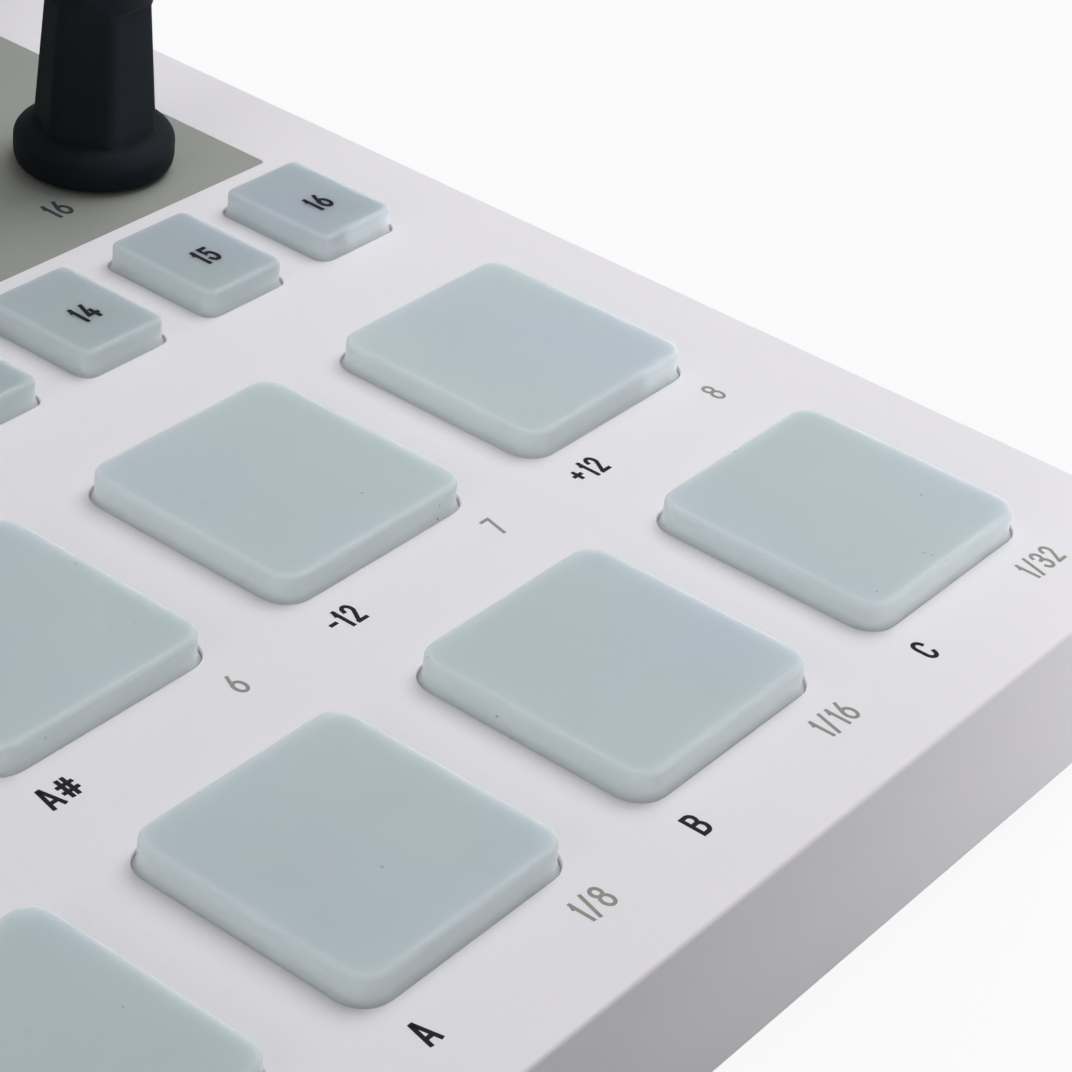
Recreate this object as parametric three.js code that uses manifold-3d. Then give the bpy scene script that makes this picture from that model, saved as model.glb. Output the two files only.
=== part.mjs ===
// A table-top pad controller: two rows of pads, a row of step buttons, two rows of encoder knobs,
// and a left part with a tempo knob, displays, transport buttons and a touch strip.
// Lengths are in millimetres. +X is to the right, +Y to the back and +Z up.
// The origin is in the middle of the surface that the object stands on.
import * as THREE from 'three';
import { mergeVertices } from 'three/addons/utils/BufferGeometryUtils.js';
import Module from 'manifold-3d';

const wasm = await Module();
wasm.setup();

// Fits
const seatGap = 0.3; // between a piece and what it rests on
const fitGap = 0.3; // round a piece that sits in an opening
const overrun = 1; // how far a cut runs past the face that it opens

// Smoothness
const cornerSteps = 2;
const roundSides = 10;

// Keys, which are the pads, the step buttons and the transport buttons
const padSize = 22.2;
const padCornerRadius = 2.2;
const padFlangeClearance = 6.8; // between the flanges of two pads in a row
const padRowClearance = 10.5; // between the flanges of two rows
const stepDepth = 12.6;
const stepCornerRadius = 0.6;
const stepFlangeClearance = 3.55;
const stepRowReach = 6.6; // from the last pad's middle out to the last step button's
const keyRise = 2.3; // from the case top to a cap's top
const capEdgeRadius = 0.5;
const keySlot = 0.4; // from a cap to the edge of its slot
const keyFlangeLip = 0.6; // from the slot to the flange's edge, under the case top
const keyFlangeThickness = 1.2;
const keyTravel = 1;
const contactRoom = 0.3; // left under a pressed flange

// Case
const wall = 2.4;
const topThickness = 2.4;
const caseCornerRadius = 4;
const caseEdgeRadius = 1.2;
const frontMargin = 11.2; // from the case's edge to the front pads
const rightMargin = 11.2;
const backMargin = 14.3; // from the panels to the case's edge
const padsToSteps = 12.45;
const stepsToPanel = 2.25; // from the step flanges to the rib round the panel's ledge

// Panels
const panelThickness = 1.6;
const panelCornerRadius = 0.4;
const ledgeWidth = 3;
const ledgeThickness = 1.6;
const ledgeRib = 0.8; // by which the ledge's rib stands out past the recess
const sidePanelMargin = 10.2; // from the case's edge to the left panel
const stripWidth = 12; // of the touch strip, the left panel's leg
const stripToPads = 10.4;
const transportToStrip = 47.4;

// Circuit board and what is soldered on it
const boardThickness = 1.6;
const boardClearance = 1;
const encoderSize = 12;
const encoderClearance = 1.85; // from an encoder body to the ledge, front and back
const encoderSideClearance = 3.1;
const tempoClearance = 9;
const bushRadius = 4;
const bushInset = 0.5; // from the panel's top down to the bush's end
const shaftRadius = 3;
const displayDepth = 13;
const displayGap = 5;
const displayInset = 4; // from the ledge to the displays, at the back
const jackHeight = 6;
const jackWidth = 7;
const jackDepth = 12;
const jackCollarRadius = 2.8;
const jackBoreRadius = 1.8;
const underBoardClearance = 2.3; // from the jacks down to the base plate
const socketInset = 0.2; // from the back face to the collars, the port and the lever

// USB port
const portWidth = 8;
const portHeight = 4;
const portShell = 0.5;
const portDepth = 9;

// Power switch, and the slot for a cable lock
const leverWidth = 3;
const leverHeight = 2;
const leverTravel = 3;
const leverReach = 3; // into the housing
const housingWall = 1.5;
const leverPocketMargin = 2;
const leverPocketDepth = 1.2;
const lockWidth = 7;
const lockHeight = 3;

// Base plate, its stand-offs, the screw holes and the feet
const baseThickness = 1.5;
const postRadius = 3;
const screwHoleRadius = 1.7;
const pilotRadius = 1.25;
const footHeight = 1.6;
const footDepth = 12;
const footEndMargin = 30;
const footMargin = 12; // from the case's front or back to the strip
const footCornerRadius = 3;

// Knobs
const knobLift = 0.4; // from the panel to the knob
const knobHeight = 19.1;
const knobFlangeRadius = 7.66;
const knobRimBottom = 1.2; // the flange is widest from here
const knobRimTop = 2.3; // up to here
const knobFlangeHeight = 3.7; // up to where the flange's round shoulder meets the body
const knobFlangeTuck = 0.45; // by which the flange draws in below
const knobBodyRadius = 6.1;
const knobTopRadius = 5.15;
const knobCollarHeight = 1.8;
const knobRunOut = 0.7; // height over which the flutes run out under the collar
const knobTopRound = 0.6;
const knobRowGap = 15.18;

// Counts, and places that divide a span
const columns = 8;
const rows = 2;
const stepsPerColumn = 2;
const transportNames = ['record', 'stop', 'play'];
const displayCount = 3;
const flutes = 6;
const jackCount = 8;
const switchShare = 0.3;
const portShare = 0.65;

// Heights, from the floor up
const caseBottom = footHeight;
const baseBottom = caseBottom + seatGap;
const baseTop = baseBottom + baseThickness;
const boardBottom = baseTop + underBoardClearance + jackHeight;
const boardTop = boardBottom + boardThickness;
const flangeBottom = boardTop + contactRoom + keyTravel;
const flangeTop = flangeBottom + keyFlangeThickness;
const ceiling = flangeTop + seatGap;
const caseTop = ceiling + topThickness;
const ledgeTop = caseTop - panelThickness - seatGap;
const knobBottom = caseTop + knobLift;

// Pitches
const keySpan = keySlot + keyFlangeLip;
const columnPitch = padSize + 2 * keySpan + padFlangeClearance;
const rowPitch = padSize + 2 * keySpan + padRowClearance;
const stepPitch = ((columns - 1) * columnPitch + 2 * stepRowReach) / (stepsPerColumn * columns - 1);
const stepWidth = stepPitch - 2 * keySpan - stepFlangeClearance;
const knobRowPitch = 2 * knobFlangeRadius + knobRowGap;

// Depths, added up from the front edge to the back edge
const encoderInset = ledgeWidth + encoderClearance + encoderSize / 2;
const frontRow = frontMargin + padSize / 2;
const backRow = frontRow + rowPitch;
const stepRow = backRow + padSize / 2 + padsToSteps + stepDepth / 2;
const panelFront = stepRow + stepDepth / 2 + keySpan + stepsToPanel + ledgeRib + fitGap;
const frontKnobs = panelFront + encoderInset;
const panelBack = frontKnobs + knobRowPitch + encoderInset;
const caseDepth = panelBack + backMargin;

// Widths, added up from the left edge to the right edge
const transportSpan = (transportNames.length - 1) * columnPitch + padSize;
const stripLeft = sidePanelMargin + transportSpan + transportToStrip;
const stripRight = stripLeft + stripWidth;
const firstColumn = stripRight + stripToPads + padSize / 2;
const lastColumn = firstColumn + (columns - 1) * columnPitch;
const caseWidth = lastColumn + padSize / 2 + rightMargin;
const panelSideInset = ledgeWidth + encoderSize / 2 + encoderSideClearance;
const tempoInset = ledgeWidth + encoderSize / 2 + tempoClearance;

const left = -caseWidth / 2;
const front = -caseDepth / 2;
const back = caseDepth / 2;
const innerBack = back - wall;

// Places in the part's frame
const columnX = (column) => left + firstColumn + column * columnPitch;
const transportX = (index) => left + sidePanelMargin + padSize / 2 + index * columnPitch;
const rowGapY = front + (frontRow + backRow) / 2;
const backBandY = (front + panelBack + fitGap + ledgeRib + innerBack) / 2;
const panelGapX = left + (stripRight + firstColumn - panelSideInset) / 2;
const screwXs = [0, (columns / 2 - 1), columns - 2].map((column) => columnX(column) + columnPitch / 2);
const screwPlaces = [
  ...screwXs.map((x) => [x, rowGapY]),
  [transportX(0) + columnPitch / 2, rowGapY],
  [transportX(transportNames.length - 1) + columnPitch / 2, rowGapY],
  [transportX(0) + columnPitch / 2, backBandY],
  [panelGapX, backBandY],
  ...screwXs.slice(1).map((x) => [x, backBandY]),
];
const socketLeft = transportX(0) + columnPitch / 2;
const switchX = THREE.MathUtils.lerp(socketLeft, panelGapX, switchShare);
const portX = THREE.MathUtils.lerp(socketLeft, panelGapX, portShare);
const jackPitch = (screwXs[1] - panelGapX) / (jackCount + 1);
const jackXs = Array.from({ length: jackCount }, (_, index) => panelGapX + (index + 1) * jackPitch);
const lockX = (screwXs[1] + screwXs[2]) / 2;
const jackZ = boardBottom - jackHeight / 2;
const portZ = boardBottom - portHeight / 2;
const leverZ = boardBottom - housingWall - fitGap - leverHeight / 2;

const knobPlaces = [];
for (let index = 0; index < rows * columns; index += 1) {
  const row = rows - 1 - Math.floor(index / columns);
  knobPlaces.push([columnX(index % columns), front + frontKnobs + row * knobRowPitch]);
}
const tempoPlace = [left + sidePanelMargin + tempoInset, front + frontKnobs + knobRowPitch / 2];
const encoderPlaces = [...knobPlaces, tempoPlace];

// Outlines are lists of [x, y], anticlockwise
function rectangle(halfWidth, halfDepth, radius, [x, y] = [0, 0]) {
  const points = [];
  for (const [quarter, [sideX, sideY]] of [[1, 1], [-1, 1], [-1, -1], [1, -1]].entries()) {
    for (let step = 0; step <= cornerSteps; step += 1) {
      const angle = (quarter + step / cornerSteps) * Math.PI / 2;
      points.push([
        x + sideX * (halfWidth - radius) + radius * Math.cos(angle),
        y + sideY * (halfDepth - radius) + radius * Math.sin(angle),
      ]);
    }
  }
  return points;
}

function circle(radius, [x, y] = [0, 0], sides = roundSides) {
  return Array.from({ length: sides }, (_, index) => {
    const angle = 2 * Math.PI * index / sides;
    return [x + radius * Math.cos(angle), y + radius * Math.sin(angle)];
  });
}

// A round hole's flats, not its corners, lie at the radius, so that a round piece turns in it
const hole = (radius, place) => circle(radius / Math.cos(Math.PI / roundSides), place);

// A closed solid through a stack of outlines with equally many points, from the bottom up
function loft(layers) {
  const count = layers[0].outline.length;
  const positions = layers.flatMap(({ outline, z }) => outline.flatMap(([x, y]) => [x, y, z]));
  const indices = [];
  for (let layer = 0; layer + 1 < layers.length; layer += 1) {
    for (let side = 0; side < count; side += 1) {
      const low = layer * count + side;
      const next = layer * count + (side + 1) % count;
      indices.push(low, next, next + count, low, next + count, low + count);
    }
  }
  const last = (layers.length - 1) * count;
  for (const [a, b, c] of faces(layers[0].outline)) indices.push(c, b, a);
  for (const [a, b, c] of faces(layers.at(-1).outline)) indices.push(last + a, last + b, last + c);
  const geometry = new THREE.BufferGeometry();
  geometry.setAttribute('position', new THREE.Float32BufferAttribute(positions, 3));
  geometry.setIndex(indices);
  return geometry;
}

function faces(outline) {
  return THREE.ShapeUtils.triangulateShape(outline.map(([x, y]) => new THREE.Vector2(x, y)), []);
}

// An upright prism between two heights
const prism = (outline, bottom, top) => loft([{ outline, z: bottom }, { outline, z: top }]);

// A box from its lowest to its highest corner
function block([x0, y0, z0], [x1, y1, z1]) {
  const geometry = new THREE.BoxGeometry(x1 - x0, y1 - y0, z1 - z0);
  return geometry.translate((x0 + x1) / 2, (y0 + y1) / 2, (z0 + z1) / 2);
}

// A round bar along Y, from one depth to another
function bar(outline, x, z, fromY, toY) {
  return prism(outline, -toY, -fromY).rotateX(Math.PI / 2).translate(x, 0, z);
}

function solid(geometry) {
  const bare = geometry.clone();
  bare.deleteAttribute('normal');
  bare.deleteAttribute('uv');
  const merged = mergeVertices(bare);
  return new wasm.Manifold(new wasm.Mesh({
    numProp: 3,
    vertProperties: new Float32Array(merged.attributes.position.array),
    triVerts: new Uint32Array(merged.index.array),
  }));
}

function shell(body) {
  const mesh = body.getMesh();
  const geometry = new THREE.BufferGeometry();
  geometry.setAttribute('position', new THREE.BufferAttribute(mesh.vertProperties, 3));
  geometry.setIndex(new THREE.BufferAttribute(mesh.triVerts, 1));
  return geometry;
}

const join = (body, geometries) => geometries.reduce((sum, geometry) => sum.add(solid(geometry)), body);
const cut = (body, geometries) => geometries.reduce((rest, geometry) => rest.subtract(solid(geometry)), body);

// The two panels' outlines, moved out by an offset or in by a negative one
function encoderOutline(offset) {
  const halfWidth = (columnX(columns - 1) - columnX(0)) / 2 + panelSideInset + offset;
  const halfDepth = (panelBack - panelFront) / 2 + offset;
  const centre = [(columnX(columns - 1) + columnX(0)) / 2, front + (panelFront + panelBack) / 2];
  return rectangle(halfWidth, halfDepth, panelCornerRadius, centre);
}

function controlOutline(offset) {
  const x0 = left + sidePanelMargin - offset;
  const x1 = left + stripLeft - offset;
  const x2 = left + stripRight + offset;
  const y0 = front + frontMargin - offset;
  const y1 = front + panelFront - offset;
  const y2 = front + panelBack + offset;
  return [[x2, y2], [x0, y2], [x0, y1], [x1, y1], [x1, y0], [x2, y0]];
}

// Keys: name, middle, half width, half depth and corner radius
function padKeys() {
  return Array.from({ length: rows * columns }, (_, index) => ({
    name: `pad_${number(index)}`,
    place: [columnX(index % columns), front + frontRow + Math.floor(index / columns) * rowPitch],
    half: [padSize / 2, padSize / 2],
    radius: padCornerRadius,
  }));
}

function stepKeys() {
  return Array.from({ length: stepsPerColumn * columns }, (_, index) => ({
    name: `step_button_${number(index)}`,
    place: [columnX(0) - stepRowReach + index * stepPitch, front + stepRow],
    half: [stepWidth / 2, stepDepth / 2],
    radius: stepCornerRadius,
  }));
}

function transportKeys() {
  return transportNames.map((name, index) => ({
    name: `transport_button_${name}`,
    place: [transportX(index), front + frontMargin + stepDepth / 2],
    half: [padSize / 2, stepDepth / 2],
    radius: stepCornerRadius,
  }));
}

function number(index) {
  return String(index + 1).padStart(2, '0');
}

function keyOutline({ half: [halfWidth, halfDepth], radius }, offset, place) {
  return rectangle(halfWidth + offset, halfDepth + offset, radius + Math.max(offset, 0), place);
}

// A cap on a flange that the case top holds down
function keyCap(key) {
  const top = caseTop + keyRise;
  const flange = keyOutline(key, keySpan);
  const side = keyOutline(key, 0);
  const crown = rectangle(key.half[0] - capEdgeRadius, key.half[1] - capEdgeRadius, key.radius);
  return loft([
    { outline: flange, z: flangeBottom },
    { outline: flange, z: flangeTop },
    { outline: side, z: flangeTop },
    { outline: side, z: top - capEdgeRadius },
    { outline: crown, z: top },
  ]);
}

// One ring of a knob. Ridges stand at its radius, and the flats between them lie nearer the axis.
function knobRing(radius, z, fluted = false) {
  const sides = 2 * flutes;
  const outline = circle(radius, [0, 0], sides).map(([x, y], index) => {
    const draw = fluted && index % 2 ? Math.cos(Math.PI / flutes) : 1;
    return [x * draw, y * draw];
  });
  return { outline, z };
}

function knob() {
  const shoulderRadius = THREE.MathUtils.lerp(knobBodyRadius, knobFlangeRadius, Math.SQRT1_2);
  const shoulder = THREE.MathUtils.lerp(knobRimTop, knobFlangeHeight, Math.SQRT1_2);
  const collar = knobHeight - knobCollarHeight;
  const body = solid(loft([
    knobRing(knobFlangeRadius - knobFlangeTuck, 0),
    knobRing(knobFlangeRadius, knobRimBottom),
    knobRing(knobFlangeRadius, knobRimTop),
    knobRing(shoulderRadius, shoulder),
    knobRing(knobBodyRadius, knobFlangeHeight, true),
    knobRing(knobTopRadius, collar - knobRunOut, true),
    knobRing(knobTopRadius, collar),
    knobRing(knobTopRadius, knobHeight - knobTopRound),
    knobRing(knobTopRadius - knobTopRound, knobHeight),
  ]));
  const shaft = prism(circle(shaftRadius), boardTop + seatGap - knobBottom, knobRimBottom);
  return shell(join(body, [shaft]));
}

function rearHoles() {
  const outside = back + overrun;
  const inside = innerBack - overrun;
  const leverHalf = (leverWidth + leverTravel) / 2 + fitGap;
  const leverRise = leverHeight / 2 + fitGap;
  const pocket = leverPocketMargin;
  const portSide = portWidth / 2 + fitGap;
  const portRise = portHeight / 2 + fitGap;
  const slotZ = (baseTop + boardBottom) / 2;
  return [
    ...jackXs.map((x) => bar(hole(jackCollarRadius + fitGap), x, jackZ, inside, outside)),
    block([portX - portSide, inside, portZ - portRise], [portX + portSide, outside, portZ + portRise]),
    block([switchX - leverHalf, inside, leverZ - leverRise],
      [switchX + leverHalf, outside, leverZ + leverRise]),
    block([switchX - leverHalf - pocket, back - leverPocketDepth, leverZ - leverRise - pocket],
      [switchX + leverHalf + pocket, outside, leverZ + leverRise + pocket]),
    block([lockX - lockWidth / 2, inside, slotZ - lockHeight / 2],
      [lockX + lockWidth / 2, outside, slotZ + lockHeight / 2]),
  ];
}

function topCase(keys) {
  const halfWidth = caseWidth / 2;
  const halfDepth = caseDepth / 2;
  const outline = (inset) => rectangle(halfWidth - inset, halfDepth - inset, caseCornerRadius - inset);
  const slope = caseEdgeRadius * (1 - Math.SQRT1_2);
  let body = solid(loft([
    { outline: outline(0), z: caseBottom },
    { outline: outline(0), z: caseTop - caseEdgeRadius },
    { outline: outline(slope), z: caseTop - slope },
    { outline: outline(caseEdgeRadius), z: caseTop },
  ]));
  body = cut(body, [prism(outline(wall), caseBottom - overrun, ceiling)]);
  const panels = [encoderOutline, controlOutline];
  const postTop = caseTop - wall / 2;
  const posts = screwPlaces.map((place) => prism(circle(postRadius, place), boardTop + seatGap, postTop));
  const ribs = panels.map((panel) => prism(panel(fitGap + ledgeRib), ledgeTop - ledgeThickness, ledgeTop));
  body = join(body, [...ribs, ...posts]);
  return shell(cut(body, [
    ...panels.map((panel) => prism(panel(fitGap), ledgeTop, caseTop + overrun)),
    ...panels.map((panel) => prism(panel(-ledgeWidth), boardTop, caseTop + overrun)),
    ...keys.map((key) => prism(keyOutline(key, keySlot, key.place), boardTop, caseTop + overrun)),
    ...screwPlaces.map((place) => prism(circle(pilotRadius, place), boardTop, ceiling)),
    ...rearHoles(),
  ]));
}

function panel(outline, places) {
  const holes = places.map((place) => prism(hole(bushRadius + fitGap, place), ledgeTop, caseTop + overrun));
  return shell(cut(solid(prism(outline(0), ledgeTop + seatGap, caseTop)), holes));
}

function displayBlocks() {
  const right = left + stripRight - ledgeWidth;
  const zone = left + sidePanelMargin + 2 * tempoInset;
  const pitch = (right - zone) / displayCount;
  const backY = front + panelBack - ledgeWidth - displayInset;
  return Array.from({ length: displayCount }, (_, index) => block(
    [zone + index * pitch, backY - displayDepth, boardTop - boardThickness / 2],
    [zone + (index + 1) * pitch - displayGap, backY, ledgeTop],
  ));
}

function jackBlocks() {
  const toY = innerBack - seatGap;
  const low = boardBottom - jackHeight;
  return jackXs.flatMap((x) => [
    block([x - jackWidth / 2, toY - jackDepth, low], [x + jackWidth / 2, toY, boardTop - boardThickness / 2]),
    bar(circle(jackCollarRadius), x, jackZ, toY - seatGap, back - socketInset),
  ]);
}

function circuitBoard() {
  const halfWidth = caseWidth / 2 - wall - boardClearance;
  const halfDepth = caseDepth / 2 - wall - boardClearance;
  const inBoard = boardTop - boardThickness / 2;
  const encoderHalf = encoderSize / 2;
  const holeBottom = boardBottom - overrun;
  const socketBack = back - socketInset;
  const portSide = portWidth / 2;
  const portLow = boardBottom - portHeight;
  const housingSide = (leverWidth + leverTravel) / 2 + fitGap + housingWall;
  const housingBack = innerBack - seatGap;
  const housingLow = leverZ - leverHeight / 2 - fitGap - housingWall;
  const leverEnd = housingBack - leverReach - fitGap;
  const slotSide = housingSide - housingWall;
  const slotRise = leverHeight / 2 + fitGap;
  const body = join(solid(block([-halfWidth, -halfDepth, boardBottom], [halfWidth, halfDepth, boardTop])), [
    ...encoderPlaces.map((place) => prism(rectangle(encoderHalf, encoderHalf, 0, place), inBoard, ledgeTop)),
    ...encoderPlaces.map((place) => prism(circle(bushRadius, place), inBoard, caseTop - bushInset)),
    ...displayBlocks(),
    ...jackBlocks(),
    block([portX - portSide, socketBack - portDepth, portLow], [portX + portSide, socketBack, boardBottom]),
    block([portX - portSide, socketBack - portDepth, portLow], [portX + portSide, housingBack, inBoard]),
    block([switchX - housingSide, leverEnd - housingWall, housingLow],
      [switchX + housingSide, housingBack, inBoard]),
  ]);
  return shell(cut(body, [
    ...encoderPlaces.map((place) => prism(hole(shaftRadius + fitGap, place), boardTop, caseTop)),
    ...screwPlaces.map((place) => prism(circle(screwHoleRadius, place), holeBottom, boardTop + overrun)),
    ...jackXs.map((x) => bar(circle(jackBoreRadius), x, jackZ, innerBack - jackDepth, back)),
    block([portX - portSide + portShell, socketBack - portDepth + portShell, portLow + portShell],
      [portX + portSide - portShell, back, boardBottom - portShell]),
    block([switchX - slotSide, leverEnd, leverZ - slotRise], [switchX + slotSide, back, leverZ + slotRise]),
  ]));
}

// The lever rests at the left end of its slot
function switchLever() {
  const x = switchX - (leverWidth + leverTravel) / 2;
  return block([x, innerBack - seatGap - leverReach, leverZ - leverHeight / 2],
    [x + leverWidth, back - socketInset, leverZ + leverHeight / 2]);
}

function basePlate() {
  const inset = wall + fitGap;
  const radius = caseCornerRadius - wall;
  const plate = rectangle(caseWidth / 2 - inset, caseDepth / 2 - inset, radius);
  const standTop = boardBottom - seatGap;
  const posts = screwPlaces.map((place) => prism(circle(postRadius, place), baseBottom, standTop));
  const boreBottom = baseBottom - overrun;
  const bores = screwPlaces.map((place) => prism(circle(screwHoleRadius, place), boreBottom, boardTop));
  return shell(cut(join(solid(prism(plate, baseBottom, baseTop)), posts), bores));
}

function foot(side) {
  const middle = side * (caseDepth / 2 - footMargin - footDepth / 2);
  const outline = rectangle(caseWidth / 2 - footEndMargin, footDepth / 2, footCornerRadius, [0, middle]);
  return prism(outline, 0, footHeight);
}

// Finishes: colour, roughness and metalness
const finishes = {
  caseWhite: [0xdad9dd, 0.55, 0],
  silicone: [0xb2bfc0, 0.5, 0],
  panelGrey: [0x999c94, 0.6, 0],
  softTouch: [0x1a2026, 0.75, 0],
  boardGreen: [0x24573c, 0.5, 0],
  paintedSteel: [0x3b3d40, 0.6, 0.3],
  rubber: [0x232527, 0.9, 0],
  switchBlack: [0x1c1d1f, 0.5, 0],
};

function piece(name, geometry, finish, position = [0, 0, 0]) {
  const [color, roughness, metalness] = finishes[finish];
  const mesh = new THREE.Mesh(geometry, new THREE.MeshStandardMaterial({ color, roughness, metalness }));
  mesh.name = name;
  mesh.position.set(...position);
  return mesh;
}

const controller = new THREE.Group();
const keys = [...padKeys(), ...stepKeys(), ...transportKeys()];
controller.add(
  piece('top_case', topCase(keys), 'caseWhite'),
  piece('encoder_panel', panel(encoderOutline, knobPlaces), 'panelGrey'),
  piece('control_panel', panel(controlOutline, [tempoPlace]), 'panelGrey'),
  piece('circuit_board', circuitBoard(), 'boardGreen'),
  piece('base_plate', basePlate(), 'paintedSteel'),
  piece('foot_front', foot(-1), 'rubber'),
  piece('foot_rear', foot(1), 'rubber'),
  piece('power_switch_lever', switchLever(), 'switchBlack'),
);
for (const key of keys) controller.add(piece(key.name, keyCap(key), 'silicone', [...key.place, 0]));
for (const [index, [x, y]] of knobPlaces.entries()) {
  controller.add(piece(`encoder_knob_${number(index)}`, knob(), 'softTouch', [x, y, knobBottom]));
}
controller.add(piece('tempo_knob', knob(), 'softTouch', [...tempoPlace, knobBottom]));

export default controller;
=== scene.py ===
"""A table-top pad controller: its visible surfaces, finishes, lettering, stage and camera.

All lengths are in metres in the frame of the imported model: +X to the right, +Y to the back, +Z up,
and the origin in the middle of the surface that the controller stands on. Places come from the
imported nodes. Each shape is a profile carried round an outline, or a function of two parameters.
"""

import bmesh
import bpy
import numpy as np
from bpy.props import FloatProperty, FloatVectorProperty, PointerProperty
from mathutils import Matrix, Vector
from mathutils.geometry import tessellate_polygon


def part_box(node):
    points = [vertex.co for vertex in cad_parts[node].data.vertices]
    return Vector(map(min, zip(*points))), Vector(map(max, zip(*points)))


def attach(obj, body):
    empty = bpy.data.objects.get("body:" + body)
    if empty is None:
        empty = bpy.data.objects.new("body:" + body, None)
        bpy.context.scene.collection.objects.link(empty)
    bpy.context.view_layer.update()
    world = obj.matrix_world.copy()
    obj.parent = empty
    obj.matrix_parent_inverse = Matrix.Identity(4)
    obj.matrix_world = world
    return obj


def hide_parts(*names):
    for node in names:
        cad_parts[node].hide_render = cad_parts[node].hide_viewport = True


bl_info = {
    "name": "Pad Controller",
    "version": (1, 0, 0),
    "blender": (4, 2, 0),
    "location": "3D View > Sidebar > Pad Controller",
    "description": "Builds the visible surfaces, finishes and stage of a table-top pad controller",
    "category": "Add Mesh",
}

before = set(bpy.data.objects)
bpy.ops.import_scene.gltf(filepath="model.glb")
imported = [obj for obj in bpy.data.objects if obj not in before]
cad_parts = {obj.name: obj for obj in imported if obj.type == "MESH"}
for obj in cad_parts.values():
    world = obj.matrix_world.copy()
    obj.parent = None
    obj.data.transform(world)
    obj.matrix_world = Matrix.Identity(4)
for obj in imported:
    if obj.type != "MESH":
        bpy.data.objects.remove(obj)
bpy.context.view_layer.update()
CHASSIS = "chassis"

WELD_DISTANCE = 1e-7
SMALLEST_BEND = 2e-5
CORNER_STEPS = 6
SHARP_ANGLE = np.radians(38)
FINE_ROLL_STEPS = 4

# Flat faces are filled in millimetres
FILL_SCALE = 1000

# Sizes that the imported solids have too
WALL = 0.0024
TOP_THICKNESS = 0.0024
FIT_GAP = 0.0003
SEAT_GAP = 0.0003
KEY_SLOT = 0.0004
KEY_FLANGE_LIP = 0.0006
LEDGE_WIDTH = 0.003
LEDGE_THICKNESS = 0.0016
LEDGE_RIB = 0.0008
PANEL_THICKNESS = 0.0016
STRIP_WIDTH = 0.012
BUSH_RADIUS = 0.004
BOARD_BOTTOM = 0.0117
BOARD_THICKNESS = 0.0016
PLATE_THICKNESS = 0.0015
SOCKET_INSET = 0.0002
JACK_RADIUS = 0.0028
JACK_BORE = 0.0018
JACK_DROP = 0.003
JACK_COUNT = 8
PORT_HALF = (0.004, 0.002)
PORT_DROP = 0.002
LOCK_HALF = (0.0035, 0.0015)
KNOB_FLUTES = 6
SWITCH_SHARE = 0.3
PORT_SHARE = 0.65

# The case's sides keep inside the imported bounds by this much, so that print on the back fits in them
PRINT_ROOM = 3e-5


def box(node):
    """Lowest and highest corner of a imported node."""
    low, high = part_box(node)
    return np.array(low), np.array(high)


def middle(node):
    """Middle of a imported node's box."""
    low, high = box(node)
    return (low + high) / 2


CASE_LOW, CASE_HIGH = box("top_case")
CASE_TOP = CASE_HIGH[2]
CEILING = CASE_TOP - TOP_THICKNESS
LEDGE_TOP = CASE_TOP - PANEL_THICKNESS - SEAT_GAP
INNER_BACK = CASE_HIGH[1] - WALL
BACK_FACE = CASE_HIGH[1] - PRINT_ROOM
SOCKET_FACE = CASE_HIGH[1] - SOCKET_INSET / 2
PADS = sorted(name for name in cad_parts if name.startswith("pad_"))
STEPS = sorted(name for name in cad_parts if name.startswith("step_button_"))
TRANSPORT = ["transport_button_record", "transport_button_stop", "transport_button_play"]
KNOBS = sorted(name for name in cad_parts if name.startswith("encoder_knob_"))
COLUMN_PITCH = middle("pad_02")[0] - middle("pad_01")[0]


def settings():
    """The controller's settings in this scene."""
    return bpy.context.scene.pad_controller


# Outlines and profiles


def rectangle(low, high):
    """Corners of a rectangle, anticlockwise."""
    return np.array([(low[0], low[1]), (high[0], low[1]), (high[0], high[1]), (low[0], high[1])])


def outline(corners, radius, offset=0.0):
    """Points round an anticlockwise polygon of right angles, moved out by the offset.

    Each corner is a quarter circle about the point one bend radius in from both of its edges. The
    bend radius grows with the offset at an outward corner and shrinks with it at an inward one.
    """
    corners = np.asarray(corners, float)
    ahead = np.roll(corners, -1, 0) - corners
    ahead /= np.linalg.norm(ahead, axis=1, keepdims=True)
    behind = np.roll(ahead, 1, 0)
    normal_in = np.c_[behind[:, 1], -behind[:, 0]]
    normal_out = np.c_[ahead[:, 1], -ahead[:, 0]]
    turn = np.sign(behind[:, 0] * ahead[:, 1] - behind[:, 1] * ahead[:, 0])
    bend = np.maximum(radius + turn * offset, SMALLEST_BEND)
    centre = corners + (offset - turn * bend)[:, None] * (normal_in + normal_out)
    angle = np.linspace(0, np.pi / 2, CORNER_STEPS + 1)[:, None]
    arc_points = np.cos(angle) * normal_in[:, None] + np.sin(angle) * normal_out[:, None]
    return (centre[:, None] + (turn * bend)[:, None, None] * arc_points).reshape(-1, 2)


def circle(centre, radius, count=32):
    """Points evenly round a circle, anticlockwise."""
    angle = np.linspace(0, 2 * np.pi, count, endpoint=False)
    return np.c_[centre[0] + radius * np.cos(angle), centre[1] + radius * np.sin(angle)]


def arc(centre, radii, start, end, steps):
    """Points on an ellipse from one angle in degrees to another."""
    angle = np.radians(np.linspace(start, end, steps + 1))
    return np.c_[centre[0] + radii[0] * np.cos(angle), centre[1] + radii[1] * np.sin(angle)]


def outer_roll(side, top, radius, steps):
    """A quarter circle from a side up onto a top."""
    return arc((side - radius, top - radius), (radius, radius), 0, 90, steps)


def inner_roll(top, radius, steps):
    """A quarter circle from a top down into a hole whose side is at 0."""
    return arc((radius, top - radius), (radius, radius), 90, 180, steps)


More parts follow.
